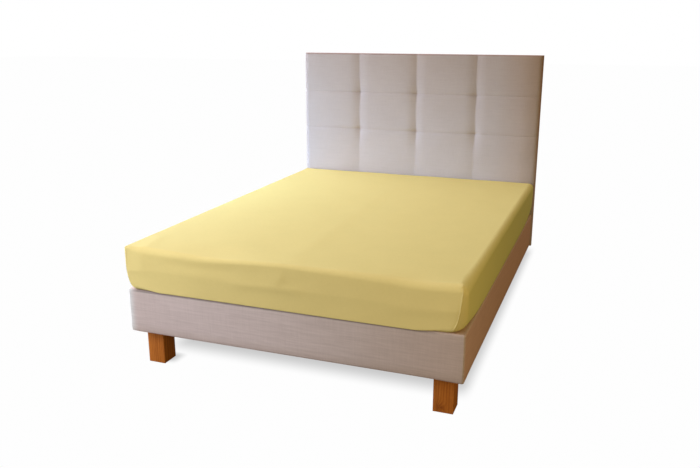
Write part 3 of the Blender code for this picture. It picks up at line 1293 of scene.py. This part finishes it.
    def skin(self, columns: Columns, wrap: Wrap, steps: Steps) -> Skin:
        """The skin's rings.

        Args:
            columns: The columns.
            wrap: The skin.
            steps: Spaces on the top edge, the side, the low edge and the tuck.

        Returns:
            Its points, outward directions and flat places.
        """
        inset, height, turned = self.profile(columns, wrap, steps)
        corner = np.maximum(self.corner_bend(columns, height, wrap.bottom) - inset, self.sharpest_radius)
        drawn = inset + self.hem_draw(columns, height, wrap.bottom)
        x = columns.across * (self.width / 2 - drawn - corner) + columns.turn[:, 0] * corner
        y = columns.along * (self.length / 2 - inset - corner) + columns.turn[:, 1] * corner
        points = np.stack([x, y + self.centre_y, height], axis=-1)
        level = np.sin(turned)[..., None] * columns.turn[None, :, :]
        outward = np.concatenate([level, np.cos(turned)[..., None]], axis=-1)
        step = np.linalg.norm(np.diff(points, axis=0), axis=2)
        walked = np.concatenate([np.zeros((1, step.shape[1])), np.cumsum(step, axis=0)])
        cloth = points[0][None, :, :2] + walked[..., None] * columns.turn[None, :, :]
        return Skin(points, outward, cloth)

    def top_field(
        self, columns: Columns, across: Array, along: Array, wrap: Wrap, rim: Array, rows: int
    ) -> tuple[Array, Array]:
        """The top's grid, and the rings that join it to the rim.

        Args:
            columns: The columns round the bed.
            across: The grid's places across, from -1 to 1.
            along: The grid's places along, from -1 to 1.
            wrap: The skin.
            rim: The ring of points at the top's edge.
            rows: How many rings lie between grid and rim.

        Returns:
            The grid's points and the joining rings' points, which end in the rim.
        """
        reach_x = self.width / 2 - self.field_inset
        reach_y = self.length / 2 - self.field_inset
        grid_x, grid_y = np.meshgrid(across * reach_x, along * reach_y + self.centre_y, indexing="ij")
        inner = np.stack([columns.across * reach_x, columns.along * reach_y + self.centre_y], axis=1)
        shares = np.linspace(0, 1, rows + 2)[:, None, None]
        joint = between(inner[None], rim[None, :, :2], shares)

        def raised(x: Array, y: Array) -> Array:
            """Points at the top's height."""
            return np.stack([x, y, wrap.top - self.sunk(x, y - self.foot_y)], axis=-1)

        rings = raised(joint[..., 0], joint[..., 1])
        rings[-1] = rim
        return raised(grid_x, grid_y), rings


@dataclass
class FittedSheet:
    """The fitted sheet, stretched over the mattress, with darted corners and a tucked hem."""

    form: BedForm
    finishes: Finishes
    thickness: float = 0.001
    steps: Steps = (8, 24, 6, 3)
    across_spaces: int = 78
    along_spaces: int = 104
    corner_spaces: int = 18
    across_crowding: float = 0.6
    along_crowding: float = 0.55
    corner_crowding: float = 1.8
    crease_places: tuple[float, ...] = (-0.022, -0.012, -0.005, 0.0, 0.005, 0.012, 0.022)
    crease_clear: float = 0.03
    relief_fade: float = 0.05
    seam_height: float = 0.0021
    seam_width: float = 0.0030
    seam_top_fade: float = 0.012
    seam_hem_fade: float = 0.02
    left_seam_share: float = 0.25
    stitch_column: int = 4
    stitch_lift: float = 0.0003
    flat_width: float = 2.09
    flat_length: float = 2.58
    flat_area: float = 4.94
    # The soft folds, on the unrolled cloth, measured from the middle of the foot edge
    folds: tuple[Fold, ...] = (
        Fold((0.01, 0.00), (-0.02, 1.60), 0.045, 0.0013, 0.10),
        Fold((-0.64, -0.12), (-0.69, 0.22), 0.030, 0.0022, 0.06),
        Fold((-0.06, -0.085), (0.02, -0.03), 0.022, 0.0022, 0.03),
        Fold((-0.16, -0.050), (-0.08, -0.02), 0.016, -0.0012, 0.03),
        Fold((0.09, -0.070), (0.12, -0.02), 0.020, -0.0010, 0.03),
        Fold((-0.775, -0.1015), (-0.64, -0.1025), 0.008, 0.0011, 0.05),
        Fold((-0.56, -0.038), (-0.14, -0.036), 0.020, -0.0021, 0.10),
        Fold((-0.27, -0.093), (0.12, -0.092), 0.018, 0.0020, 0.08),
        Fold((0.40, -0.102), (0.77, -0.100), 0.020, 0.0012, 0.10),
    )
    waves: tuple[Waves, ...] = (
        Waves(seed=5, length=0.34, height=0.00045),
        Waves(seed=8, length=0.11, height=0.00012),
    )

    def relief(self, cloth: Array, height: Array) -> Array:
        """How far the cloth stands off its plain form.

        Args:
            cloth: Flat places.
            height: The level of each of them.

        Returns:
            The lift at each place, none of it under the mattress.
        """
        x, y = cloth[..., 0], cloth[..., 1] - self.form.foot_y
        lift = sum(part.at(x, y) for part in self.folds + self.waves)
        return lift * smooth_step((height - self.form.base_top) / self.relief_fade)

    def build(self) -> None:
        """Builds the cloth and its seam stitches, and dresses them."""
        form = self.form
        bottom = form.base_top + form.gap
        wrap = Wrap(0.0, bottom, form.base_top + form.height, form.tuck, droops=True)
        across = crowded_to_ends(self.across_spaces, self.across_crowding)
        clear = across[np.abs(across) > self.crease_clear]
        across = np.unique(np.concatenate([clear, self.crease_places]))
        along = crowded_to_ends(self.along_spaces, self.along_crowding)
        columns = form.columns(across, along, self.corner_spaces, self.corner_crowding)
        skin = form.skin(columns, wrap, self.steps)
        grid, joint = form.top_field(columns, across, along, wrap, skin.points[0], rows=2)
        lifted = skin.points + skin.outward * self.relief(skin.cloth, skin.points[..., 2])[..., None]
        lifted = lifted + skin.outward * self.seam_ridge(columns, skin)[..., None]
        for field in (grid, joint):
            field[..., 2] += self.relief(field[..., :2], field[..., 2])
        joint[-1] = lifted[0]
        patches = Patchwork()
        patches.skin(grid, joint, lifted, skin.cloth)
        sheet = patches.sew("fitted_sheet", self.finishes.cotton, upward=True)
        cloth = sheet.modifiers.new("Cloth", "SOLIDIFY")
        cloth.thickness = self.thickness
        cloth.offset = -1.0
        dress(sheet, "sheet_cotton", "sheet")
        stitches = self.stitch_corners(columns, lifted, skin)

    def seam_ridge(self, columns: Columns, skin: Skin) -> Array:
        """The raised line of each corner's dart seam.

        Args:
            columns: The columns round the bed.
            skin: The rings over the form.

        Returns:
            The lift of every ring's points.
        """
        heights = skin.points[..., 2]
        aside = columns.from_seam[None, :] * self.form.corner_bend(columns, heights, self.form.base_top)
        rise = smooth_step((self.form.base_top + self.form.height - heights) / self.seam_top_fade)
        rise = rise * smooth_step((heights - self.form.base_top) / self.seam_hem_fade)
        rise = rise * between(self.left_seam_share, 1.0, smooth_step(columns.across / 2 + 0.5))
        return self.seam_height * bell(aside, self.seam_width) * rise

    def stitch_corners(self, columns: Columns, lifted: Array, skin: Skin) -> bpy.types.Object:
        """Sews a row of stitches beside each corner's seam.

        Args:
            columns: The columns round the bed.
            lifted: The sheet's outer rings.
            skin: The same rings before they were lifted.

        Returns:
            The stitches, as one piece.
        """
        edge, side, low, _ = self.steps
        rows = slice(edge // 2, edge + side + low // 2)
        paths = []
        corners = np.flatnonzero(columns.from_seam < NO_SEAM).reshape(4, -1)
        for corner, toward_end in zip(corners, (-1, 1, -1, 1)):
            beside = corner[len(corner) // 2 + toward_end * self.stitch_column]
            paths.append(lifted[rows, beside] + skin.outward[rows, beside] * self.stitch_lift)
        row = PathRow(Unit.STITCH, pitch=0.0036, length=0.0028, thickness=0.0007)
        return dress(row.lay("corner_stitches", paths, self.finishes.cotton_thread), "sheet_cotton")


@dataclass
class Mattress:
    """The mattress inside the sheet, a closed padded block in the sheet's own form."""

    form: BedForm
    finishes: Finishes
    inset: float = 0.004
    under_hem: float = 0.0026
    under_top: float = 0.0023
    steps: Steps = (4, 8, 4, 2)
    across_spaces: int = 24
    along_spaces: int = 32
    corner_spaces: int = 8
    crowding: float = 0.6

    def build(self) -> None:
        """Builds the block and dresses it."""
        form = self.form
        bottom, top = form.base_top + self.under_hem, form.base_top + form.height - self.under_top
        wrap = Wrap(inset=self.inset, bottom=bottom, top=top, tuck=form.tuck)
        across = crowded_to_ends(self.across_spaces, self.crowding)
        along = crowded_to_ends(self.along_spaces, self.crowding)
        columns = form.columns(across, along, self.corner_spaces)
        skin = form.skin(columns, wrap, self.steps)
        grid, joint = form.top_field(columns, across, along, wrap, skin.points[0], rows=1)
        patches = Patchwork()
        patches.skin(grid, joint, skin.points, skin.cloth)
        patches.cap(skin.points[-1], skin.cloth[-1])
        block = patches.sew("mattress_block", self.finishes.ticking)
        dress(block, "mattress_ticking", "mattress")


# ---------------------------------------------------------------- the upholstered bed


@dataclass
class Base:
    """The upholstered base: cloth drawn over a padded box, closed by a lining underneath."""

    form: BedForm
    finishes: Finishes
    corner_radius: float = 0.009
    sharpest_corner: float = 0.002
    edge_radius: float = 0.0070
    edge_spaces: int = 4
    softness: float = 0.00036
    left_give: float = 0.0030
    right_give: float = 0.0012
    give_reach: float = 0.022
    edge_softness: float = 0.016
    corner_droop: float = 0.0035
    droop_reach: float = 0.09
    droop_height: float = 0.03
    rim: float = 0.03
    side_spaces: int = 20
    across_spaces: int = 70
    along_spaces: int = 90
    corner_spaces: int = 8
    crowding: float = 0.75
    lining_inset: float = 0.018
    lining_thickness: float = 0.0008
    staple_inset: float = 0.010
    staple_drop: float = 0.0003

    def outline(self, inset: Array, softness: Array, columns: Columns) -> Array:
        """The outline at each level.

        Args:
            inset: How far each level lies inside the box.
            softness: How far the corners' padding gives at each level.
            columns: The columns round the base.

        Returns:
            Levels by columns by two coordinates.
        """
        half_x, half_y = self.form.base_width / 2, self.form.base_length / 2
        corner = np.maximum(self.corner_radius - inset, self.sharpest_corner)[:, None]
        from_left = (1 + columns.across) * half_x
        from_right = (1 - columns.across) * half_x
        given = self.left_give * np.exp(-from_left / self.give_reach)
        given = given + self.right_give * np.exp(-from_right / self.give_reach)
        reach_x = inset[:, None] + softness[:, None]
        reach_y = reach_x + given[None, :]
        x = columns.across * (half_x - reach_x - corner) + columns.turn[:, 0] * corner
        y = columns.along * (half_y - reach_y - corner) + columns.turn[:, 1] * corner
        return np.stack([x, y + self.form.centre_y], axis=-1)

    def levels(self, low: float, high: float) -> tuple[Array, Array]:
        """The box's levels, from its underside to its top, rolled over at both edges.

        Args:
            low: The underside's height.
            high: The top's height.

        Returns:
            How far each level lies inside the box, and its height.
        """
        roll = np.linspace(0, math.pi / 2, self.edge_spaces + 1)
        inward = self.edge_radius * (1 - np.sin(roll))
        rise = self.edge_radius * (1 - np.cos(roll))
        side = np.linspace(low + self.edge_radius, high - self.edge_radius, self.side_spaces + 1)[1:-1]
        inset = np.concatenate([[self.rim], inward, np.zeros_like(side), inward[::-1], [self.rim]])
        height = np.concatenate([[low], low + rise, side, (high - rise)[::-1], [high]])
        return inset, height

    def build(self) -> None:
        """Builds the covered box, and dresses it."""
        low, high = (corner.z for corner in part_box("base"))
        inset, height = self.levels(low, high)
        across = crowded_to_ends(self.across_spaces, self.crowding)
        along = crowded_to_ends(self.along_spaces, self.crowding)
        columns = self.form.columns(across, along, self.corner_spaces)
        from_edge = np.minimum(height - low, high - height)
        plan = self.outline(inset, self.softness * np.exp(-from_edge / self.edge_softness), columns)
        raised = np.repeat(height[:, None], plan.shape[1], axis=1)
        to_right = (1 - columns.across) * self.form.base_width / 2
        to_foot = (1 + columns.along) * self.form.base_length / 2
        hanging = self.corner_droop * bell(np.hypot(to_right, to_foot), self.droop_reach)
        raised[1:] -= hanging * np.exp(-(raised[1:] - low) / self.droop_height)
        rings = np.concatenate([plan, raised[..., None]], axis=-1)
        patches = Patchwork()
        patches.grid(rings, rings[..., :2], closed=True)
        patches.cap(rings[0], rings[0][:, :2])
        patches.cap(rings[-1], rings[-1][:, :2])
        box = patches.sew("base_box", self.finishes.linen)
        map_as_box(box.data, self.form.base_width / 2, self.form.foot_y)
        dress(box, "upholstery", "base")
        self.line_underside(low)

    def line_underside(self, low: float) -> None:
        """Adds the lining cloth under the base, with its staples.

        Args:
            low: The level of the base's underside.
        """
        half = np.array([self.form.base_width, self.form.base_length]) / 2 - self.lining_inset
        centre = np.array([0, self.form.centre_y])
        under = low - self.lining_thickness
        corners = (Vector((*(centre - half), under)), Vector((*(centre + half), low)))
        dress(plain_box("base_lining", *corners, self.finishes.lining), "upholstery")
        turns = np.array([(-1, -1), (1, -1), (1, 1), (-1, 1), (-1, -1)], float)
        path = turns * (half - self.staple_inset) + centre
        path = np.column_stack([path, np.full(len(path), under - self.staple_drop)])
        row = PathRow(Unit.STAPLE, pitch=0.045, length=0.010, thickness=0.0009)
        dress(row.lay("base_staples", [path], self.finishes.linen_thread), "upholstery")


@dataclass
class Headboard:
    """The tufted headboard: a padded front drawn in along its seams, soft rolled rims and a lined back."""

    finishes: Finishes
    pitch_x: float = 0.378
    pitch_z: float = 0.2365
    columns: tuple[int, ...] = (-1, 0, 1)
    rows: tuple[int, ...] = (1, 2)
    seam_drop: float = 0.006
    upright_depth: float = 0.0108
    upright_reach: float = 0.068
    between_tufts: float = 0.62
    at_top: float = 1.30
    top_reach: float = 0.16
    at_bottom: float = 0.33
    bottom_reach: float = 0.12
    below_level: float = 0.14
    tuft_height: float = 0.070
    shift: float = 0.0018
    bulge: float = 0.0036
    level_depth: float = 0.0024
    level_pull: float = 0.0054
    level_reach: float = 0.024
    pull_reach: float = 0.060
    right_pull: float = 0.25
    pull_change: float = 0.03
    tuft_depth: float = 0.0045
    tuft_softness: float = 0.014
    crown: float = 0.004
    rim_radius: float = 0.012
    rim_reach: float = 0.026
    left_roll: float = 0.003
    right_roll: float = 0.014
    top_roll: float = 0.003
    roll_reach: float = 0.12
    top_roll_reach: float = 0.05
    back_radius: float = 0.005
    lining_thickness: float = 0.001
    lining_inset: float = 0.02
    stitch_lift: float = 0.0004
    waves: Waves = Waves(seed=21, length=0.16, height=0.0005)
    x_spaces: int = 36
    z_spaces: int = 30
    rim_spaces: int = 8

    def seams(self) -> tuple[Array, Array]:
        """The places of the upright and of the level seams."""
        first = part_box("headboard")[1].z - self.seam_drop
        return np.array(self.columns) * self.pitch_x, first - np.array(self.rows) * self.pitch_z

    def lines(self, low: float, high: float, seams: Array, rim: float, spaces: int) -> Array:
        """Places from low to high, closer together at the seams and the rims.

        Args:
            low: The first place.
            high: The last place.
            seams: The seams between them.
            rim: How wide the rounded rims are.
            spaces: How many spaces lie between two seams.

        Returns:
            The places in rising order.
        """
        rim_places = rim * (1 - np.cos(np.linspace(0, math.pi / 2, self.rim_spaces + 1)))
        stops = [low + rim, *sorted(seams), high - rim]
        even = np.linspace(-1, 1, spaces + 1)
        crowded = 0.5 + 0.5 * np.sign(even) * (1 - (1 - np.abs(even)) ** 1.7)
        inner = [between(start, end, crowded) for start, end in zip(stops, stops[1:])]
        places = np.concatenate([low + rim_places, *inner, high - rim_places])
        return np.unique(np.round(places, 6))

    def drawn_in(self, x: Array, z: Array, box: tuple[Vector, Vector]) -> Array:
        """How far the seams and tufts draw the front in.

        Args:
            x: Places across.
            z: Heights.
            box: The headboard's corners.

        Returns:
            The depth at each place.
        """
        upright, level = self.seams()
        above = np.abs(z[..., None] - level).min(axis=-1)
        at_tuft = bell(above, self.tuft_height)
        offset = (x + self.shift + self.bulge * (1 - at_tuft))[..., None] - upright
        nearest = np.take_along_axis(offset, np.abs(offset).argmin(axis=-1)[..., None], axis=-1)[..., 0]
        aside = np.abs(nearest)
        drawn = self.upright_depth * between(self.between_tufts, 1.0, at_tuft)
        drawn = drawn * between(self.at_top, 1.0, smooth_step((box[1].z - z) / self.top_reach))
        low_share = smooth_step((z - level.min() + self.below_level) / self.bottom_reach)
        drawn = drawn * between(self.at_bottom, 1.0, low_share)
        sunk = drawn * np.maximum(1 - aside / self.upright_reach, 0) ** 2
        pull = between(self.right_pull, 1.0, smooth_step(0.5 - nearest / self.pull_change))
        pulled = self.level_depth + self.level_pull * np.exp(-aside / self.pull_reach) * pull
        sunk = sunk + pulled * np.maximum(1 - above / self.level_reach, 0) ** 2
        sunk = sunk + self.tuft_depth * np.exp(-np.hypot(aside, above) / self.tuft_softness)
        return sunk + self.crown * (1 - np.sin(np.pi * np.clip(aside / self.pitch_x, 0, 0.5)))

    def depth(self, x: Array, z: Array, box: tuple[Vector, Vector]) -> Array:
        """How far the front lies behind its crowns, with its seams, rolls and rounded rims.

        Args:
            x: Places across.
            z: Heights.
            box: The headboard's corners.

        Returns:
            The depth at each place.
        """
        low, high = box
        sunk = self.drawn_in(x, z, box) + self.waves.at(x, z)
        rolls = (
            (x - low.x, self.roll_reach, self.left_roll),
            (high.x - x, self.roll_reach, self.right_roll),
            (high.z - z, self.top_roll_reach, self.top_roll),
        )
        for away, reach, deep in rolls:
            sunk = sunk + deep * np.clip(1 - away / reach, 0, 1) ** 2
        rims = (
            (np.minimum(x - low.x, high.x - x), self.rim_reach),
            (np.minimum(high.z - z, z - low.z), self.rim_radius),
        )
        rounded = np.zeros_like(sunk)
        for away, reach in rims:
            share = np.clip(away / reach, 0, 1)
            fall = 1 - np.sqrt(np.maximum(2 * share - share**2, 0))
            rounded = np.maximum(rounded, self.rim_radius * fall)
        return sunk + rounded

    def sides(self, rim: Array, box: tuple[Vector, Vector], back: float) -> Array:
        """The rings round the board, from the front's rim to its rounded back edge.

        Args:
            rim: The ring of points at the front's edge.
            box: The headboard's corners.
            back: Where the board's back is.

        Returns:
            Rings by points by three coordinates.
        """
        centre, half = (box[0] + box[1]) / 2, (box[1] - box[0]) / 2
        rings = []
        for share in np.linspace(0, 1, 6):
            rings.append(rim.copy())
            rings[-1][:, 1] = between(rim[:, 1], back - self.back_radius, share)
        for angle in np.linspace(0, math.pi / 2, 4)[1:]:
            inset = self.back_radius * (1 - math.cos(angle))
            rings.append(np.empty_like(rim))
            for axis in (0, 2):
                rings[-1][:, axis] = centre[axis] + (rim[:, axis] - centre[axis]) * (1 - inset / half[axis])
            rings[-1][:, 1] = back - self.back_radius * (1 - math.sin(angle))
        return np.array(rings)

    def build(self) -> None:
        """Builds the cushioned board, its stitches and its back lining, and dresses them."""
        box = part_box("headboard")
        low, high = box
        upright, level = self.seams()
        xs = self.lines(low.x, high.x, upright, self.rim_reach, self.x_spaces)
        zs = self.lines(low.z, high.z, level, self.rim_radius, self.z_spaces)
        grid_x, grid_z = np.meshgrid(xs, zs, indexing="ij")
        front = low.y + np.maximum(self.depth(grid_x, grid_z, box), 0)
        points = np.stack([grid_x, front, grid_z], axis=-1)
        rim = np.concatenate([points[:-1, 0], points[-1, :-1], points[:0:-1, -1], points[0, :0:-1]])
        back = high.y - self.lining_thickness
        rings = self.sides(rim, box, back)
        patches = Patchwork()
        patches.grid(points, points[..., [0, 2]])
        patches.grid(rings, rings[..., [0, 2]], closed=True)
        patches.cap(rings[-1], rings[-1][:, [0, 2]])
        cushion = patches.sew("headboard_cushion", self.finishes.head_linen)
        map_as_box(cushion.data, (high.x - low.x) / 2, low.y)
        dress(cushion, "upholstery", "headboard")
        self.stitch_seams(box, zs, xs)
        corners = (
            Vector((low.x + self.lining_inset, back, low.z + self.lining_inset)),
            Vector((high.x - self.lining_inset, high.y, high.z - self.lining_inset)),
        )
        dress(plain_box("headboard_lining", *corners, self.finishes.lining), "upholstery")

    def stitch_seams(self, box: tuple[Vector, Vector], zs: Array, xs: Array) -> None:
        """Sews the rows of stitches that lie in the seams, between the rims.

        Args:
            box: The headboard's corners.
            zs: Heights of the front's points.
            xs: Their places across.
        """
        upright, level = self.seams()
        lines = [(np.full_like(zs, place), zs) for place in upright]
        lines += [(xs, np.full_like(xs, height)) for height in level]
        paths = []
        for x, z in lines:
            y = box[0].y + self.depth(x, z, box) - self.stitch_lift
            paths.append(np.stack([x, y, z], axis=1)[self.rim_spaces:-self.rim_spaces])
        row = PathRow(Unit.STITCH, pitch=0.0058, length=0.0044, thickness=0.0010)
        dress(row.lay("headboard_stitches", paths, self.finishes.linen_thread), "upholstery")


@dataclass
class Legs:
    """Four square wooden legs with crisp, lightly eased edges."""

    finishes: Finishes
    edge: float = 0.0016

    def build(self) -> None:
        """Builds a leg in the place of each leg node, and dresses it."""
        for name in sorted(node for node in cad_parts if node.startswith("leg_")):
            post = plain_box(name + "_post", *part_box(name), self.finishes.wood, self.edge)
            dress(post, "leg_wood", name)


# ---------------------------------------------------------------- the studio


@dataclass(frozen=True)
class SoftBox:
    """One soft studio light."""

    name: str
    place: Triple
    target: Triple
    size: Point
    power: float
    colour: Colour

    def hang(self) -> None:
        """Puts the light in the scene, facing its target."""
        data = bpy.data.lights.new(self.name, "AREA")
        data.shape = "RECTANGLE"
        data.size, data.size_y = self.size
        data.energy = self.power
        data.color = self.colour
        lamp = bpy.data.objects.new(self.name, data)
        lamp.location = self.place
        facing = Vector(self.target) - Vector(self.place)
        lamp.rotation_euler = facing.to_track_quat("-Z", "Y").to_euler()
        lamp.visible_camera = False
        bpy.context.scene.collection.objects.link(lamp)


@dataclass(frozen=True)
class Glow:
    """A wide soft brightness of the sky, strongest in one direction and gone at a right angle to it."""

    toward: Triple
    strength: float
    colour: Colour


@dataclass(frozen=True)
class Shade:
    """A soft painted shade on the floor, between two edges along each axis.

    Each edge is a pair of places: where the shade starts, and where it is full.
    """

    x: tuple[Point, Point]
    y: tuple[Point, Point]

    def at(self, bench: Bench, place: Sequence[Wire]) -> Wire:
        """How far a place is inside the shade.

        Args:
            bench: The floor's bench.
            place: The three coordinates.

        Returns:
            0 outside the shade and 1 well inside it.
        """
        share = None
        for along, edges in zip(place, (self.x, self.y)):
            for start, full in edges:
                sockets = {"Value": along, "From Min": start, "From Max": full}
                rise = bench.node("ShaderNodeMapRange", {"interpolation_type": "SMOOTHSTEP"}, sockets)
                share = rise if share is None else share * rise
        return share


@dataclass(frozen=True)
class Studio:
    """A plain pale floor under soft light, and the camera at the photograph's angle."""

    floor_size: float = 60.0
    floor_white: float = 0.99
    floor_bounce: float = 0.12
    shade_depth: float = 0.40
    under_bed: Shade = Shade(((-0.78, -0.64), (0.757, 0.682)), ((-0.875, -0.700), (1.55, 1.30)))
    by_left_leg: Shade = Shade(((-0.725, -0.69), (-0.566, -0.628)), ((-0.975, -0.92), (-0.83, -0.89)))
    sky: Colour = (1.0, 0.84, 0.54)
    sky_strength: float = 0.085
    glows: tuple[Glow, ...] = (
        Glow((-0.7071, 0.0, 0.7071), 0.468, (0.99, 0.97, 1.0)),
        Glow((1.0, 0.0, 0.0), 0.327, (1.0, 0.71, 0.02)),
    )
    # Cool windows on the left, a warm fill at the right, one light above and one behind the head
    lights: tuple[SoftBox, ...] = (
        SoftBox("foot_window", (-2.4, -2.2, 1.5), (0, 0, 0.5), (2.2, 2.2), 84.0, (0.92, 0.95, 1.0)),
        SoftBox("side_window", (-2.3, -0.6, 1.7), (0, 0, 0.5), (2.2, 2.2), 18.1, (0.50, 0.61, 1.0)),
        SoftBox("head_window", (-2.6, 1.2, 2.8), (0, 0, 0.5), (2.2, 2.2), 44.9, (0.85, 0.71, 1.0)),
        SoftBox("head_lamp", (-1.7, 0.2, 0.8), (0.2, 1.0, 0.7), (1.0, 1.0), 23.5, (0.50, 0.74, 1.0)),
        SoftBox("right_lamp", (2.2, -2.6, 0.9), (0.75, -0.9, 0.4), (1.0, 1.0), 13.6, (1.0, 0.83, 0.44)),
        SoftBox("top_lamp", (0.1, 0.6, 3.0), (0.1, 0.5, 0.55), (1.2, 1.2), 8.2, (1.0, 0.73, 0.64)),
        SoftBox("back_fill", (0.8, 3.6, 1.0), (0, 1.0, 0.7), (1.5, 1.2), 12.0, (0.85, 0.93, 1.0)),
    )
    camera_place: Triple = (1.2303, -3.5617, 1.4713)
    camera_pitch: float = 90 - 15.609
    camera_turn: float = 20.287
    sensor: float = 36.0
    lens: float = 37.781

    def lay_floor(self) -> None:
        """Lays the floor, white to the eye but for the soft painted shade under the bed."""
        half = self.floor_size / 2
        mesh = bpy.data.meshes.new("floor")
        corners = [(-half, -half, 0), (half, -half, 0), (half, half, 0), (-half, half, 0)]
        mesh.from_pydata(corners, [], [(0, 1, 2, 3)])
        bench = Bench("pale_floor")
        place = bench.axes(bench.place())
        # painted shadow under the bed and by the left leg, set into the floor's glow
        shade = bench.sum("MAXIMUM", self.under_bed.at(bench, place), self.by_left_leg.at(bench, place))
        tint = bench.blend((self.floor_white,) * 3, BLACK, shade * self.shade_depth)
        bright = bench.node("ShaderNodeEmission", {}, {"Color": tint, "Strength": 1.0})
        dull = bench.node("ShaderNodeBsdfDiffuse", {}, {"Color": (self.floor_bounce,) * 3})
        seen = bench.node("ShaderNodeLightPath", out="Is Camera Ray")
        bench.close(bench.node("ShaderNodeMixShader", {}, {0: seen, 1: dull, 2: bright}))
        put_in_scene("floor", mesh, bench.material)

    def open_sky(self) -> None:
        """Gives the world its even light, white where the camera sees it."""
        bench = Bench("studio", world=True)
        bpy.context.scene.world = bench.material
        away = bench.node("ShaderNodeTexCoord", out="Generated")
        even = {"Color": self.sky, "Strength": self.sky_strength}
        light = bench.node("ShaderNodeBackground", {}, even)
        for glow in self.glows:
            facing = {"operation": "DOT_PRODUCT"}
            turned = bench.node("ShaderNodeVectorMath", facing, {0: away, 1: glow.toward}, out="Value")
            sockets = {"Color": glow.colour, "Strength": bench.held(turned) * glow.strength}
            more = bench.node("ShaderNodeBackground", {}, sockets)
            light = bench.node("ShaderNodeAddShader", {}, {0: light, 1: more})
        white = bench.node("ShaderNodeBackground", {}, {"Color": WHITE, "Strength": 1.0})
        seen = bench.node("ShaderNodeLightPath", out="Is Camera Ray")
        bench.close(bench.node("ShaderNodeMixShader", {}, {0: seen, 1: light, 2: white}))

    def place_camera(self) -> None:
        """Places the camera."""
        data = bpy.data.cameras.new("camera")
        data.sensor_width = self.sensor
        data.lens = self.lens
        camera = bpy.data.objects.new("camera", data)
        camera.location = self.camera_place
        camera.rotation_euler = (math.radians(self.camera_pitch), 0, math.radians(self.camera_turn))
        bpy.context.scene.collection.objects.link(camera)
        bpy.context.scene.camera = camera

    def build(self) -> None:
        """Sets up the floor, the light and the camera."""
        self.lay_floor()
        self.open_sky()
        for light in self.lights:
            light.hang()
        self.place_camera()
        bpy.context.scene.view_settings.view_transform = "Standard"


def main() -> None:
    """Builds every piece in order."""
    logging.basicConfig(level=logging.INFO, format="%(name)s %(message)s")
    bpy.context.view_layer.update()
    finishes = Finishes.mixed()
    form = BedForm()
    Mattress(form, finishes).build()
    FittedSheet(form, finishes).build()
    Base(form, finishes).build()
    Headboard(finishes).build()
    Legs(finishes).build()
    Studio().build()


if __name__ == "__main__":
    main()
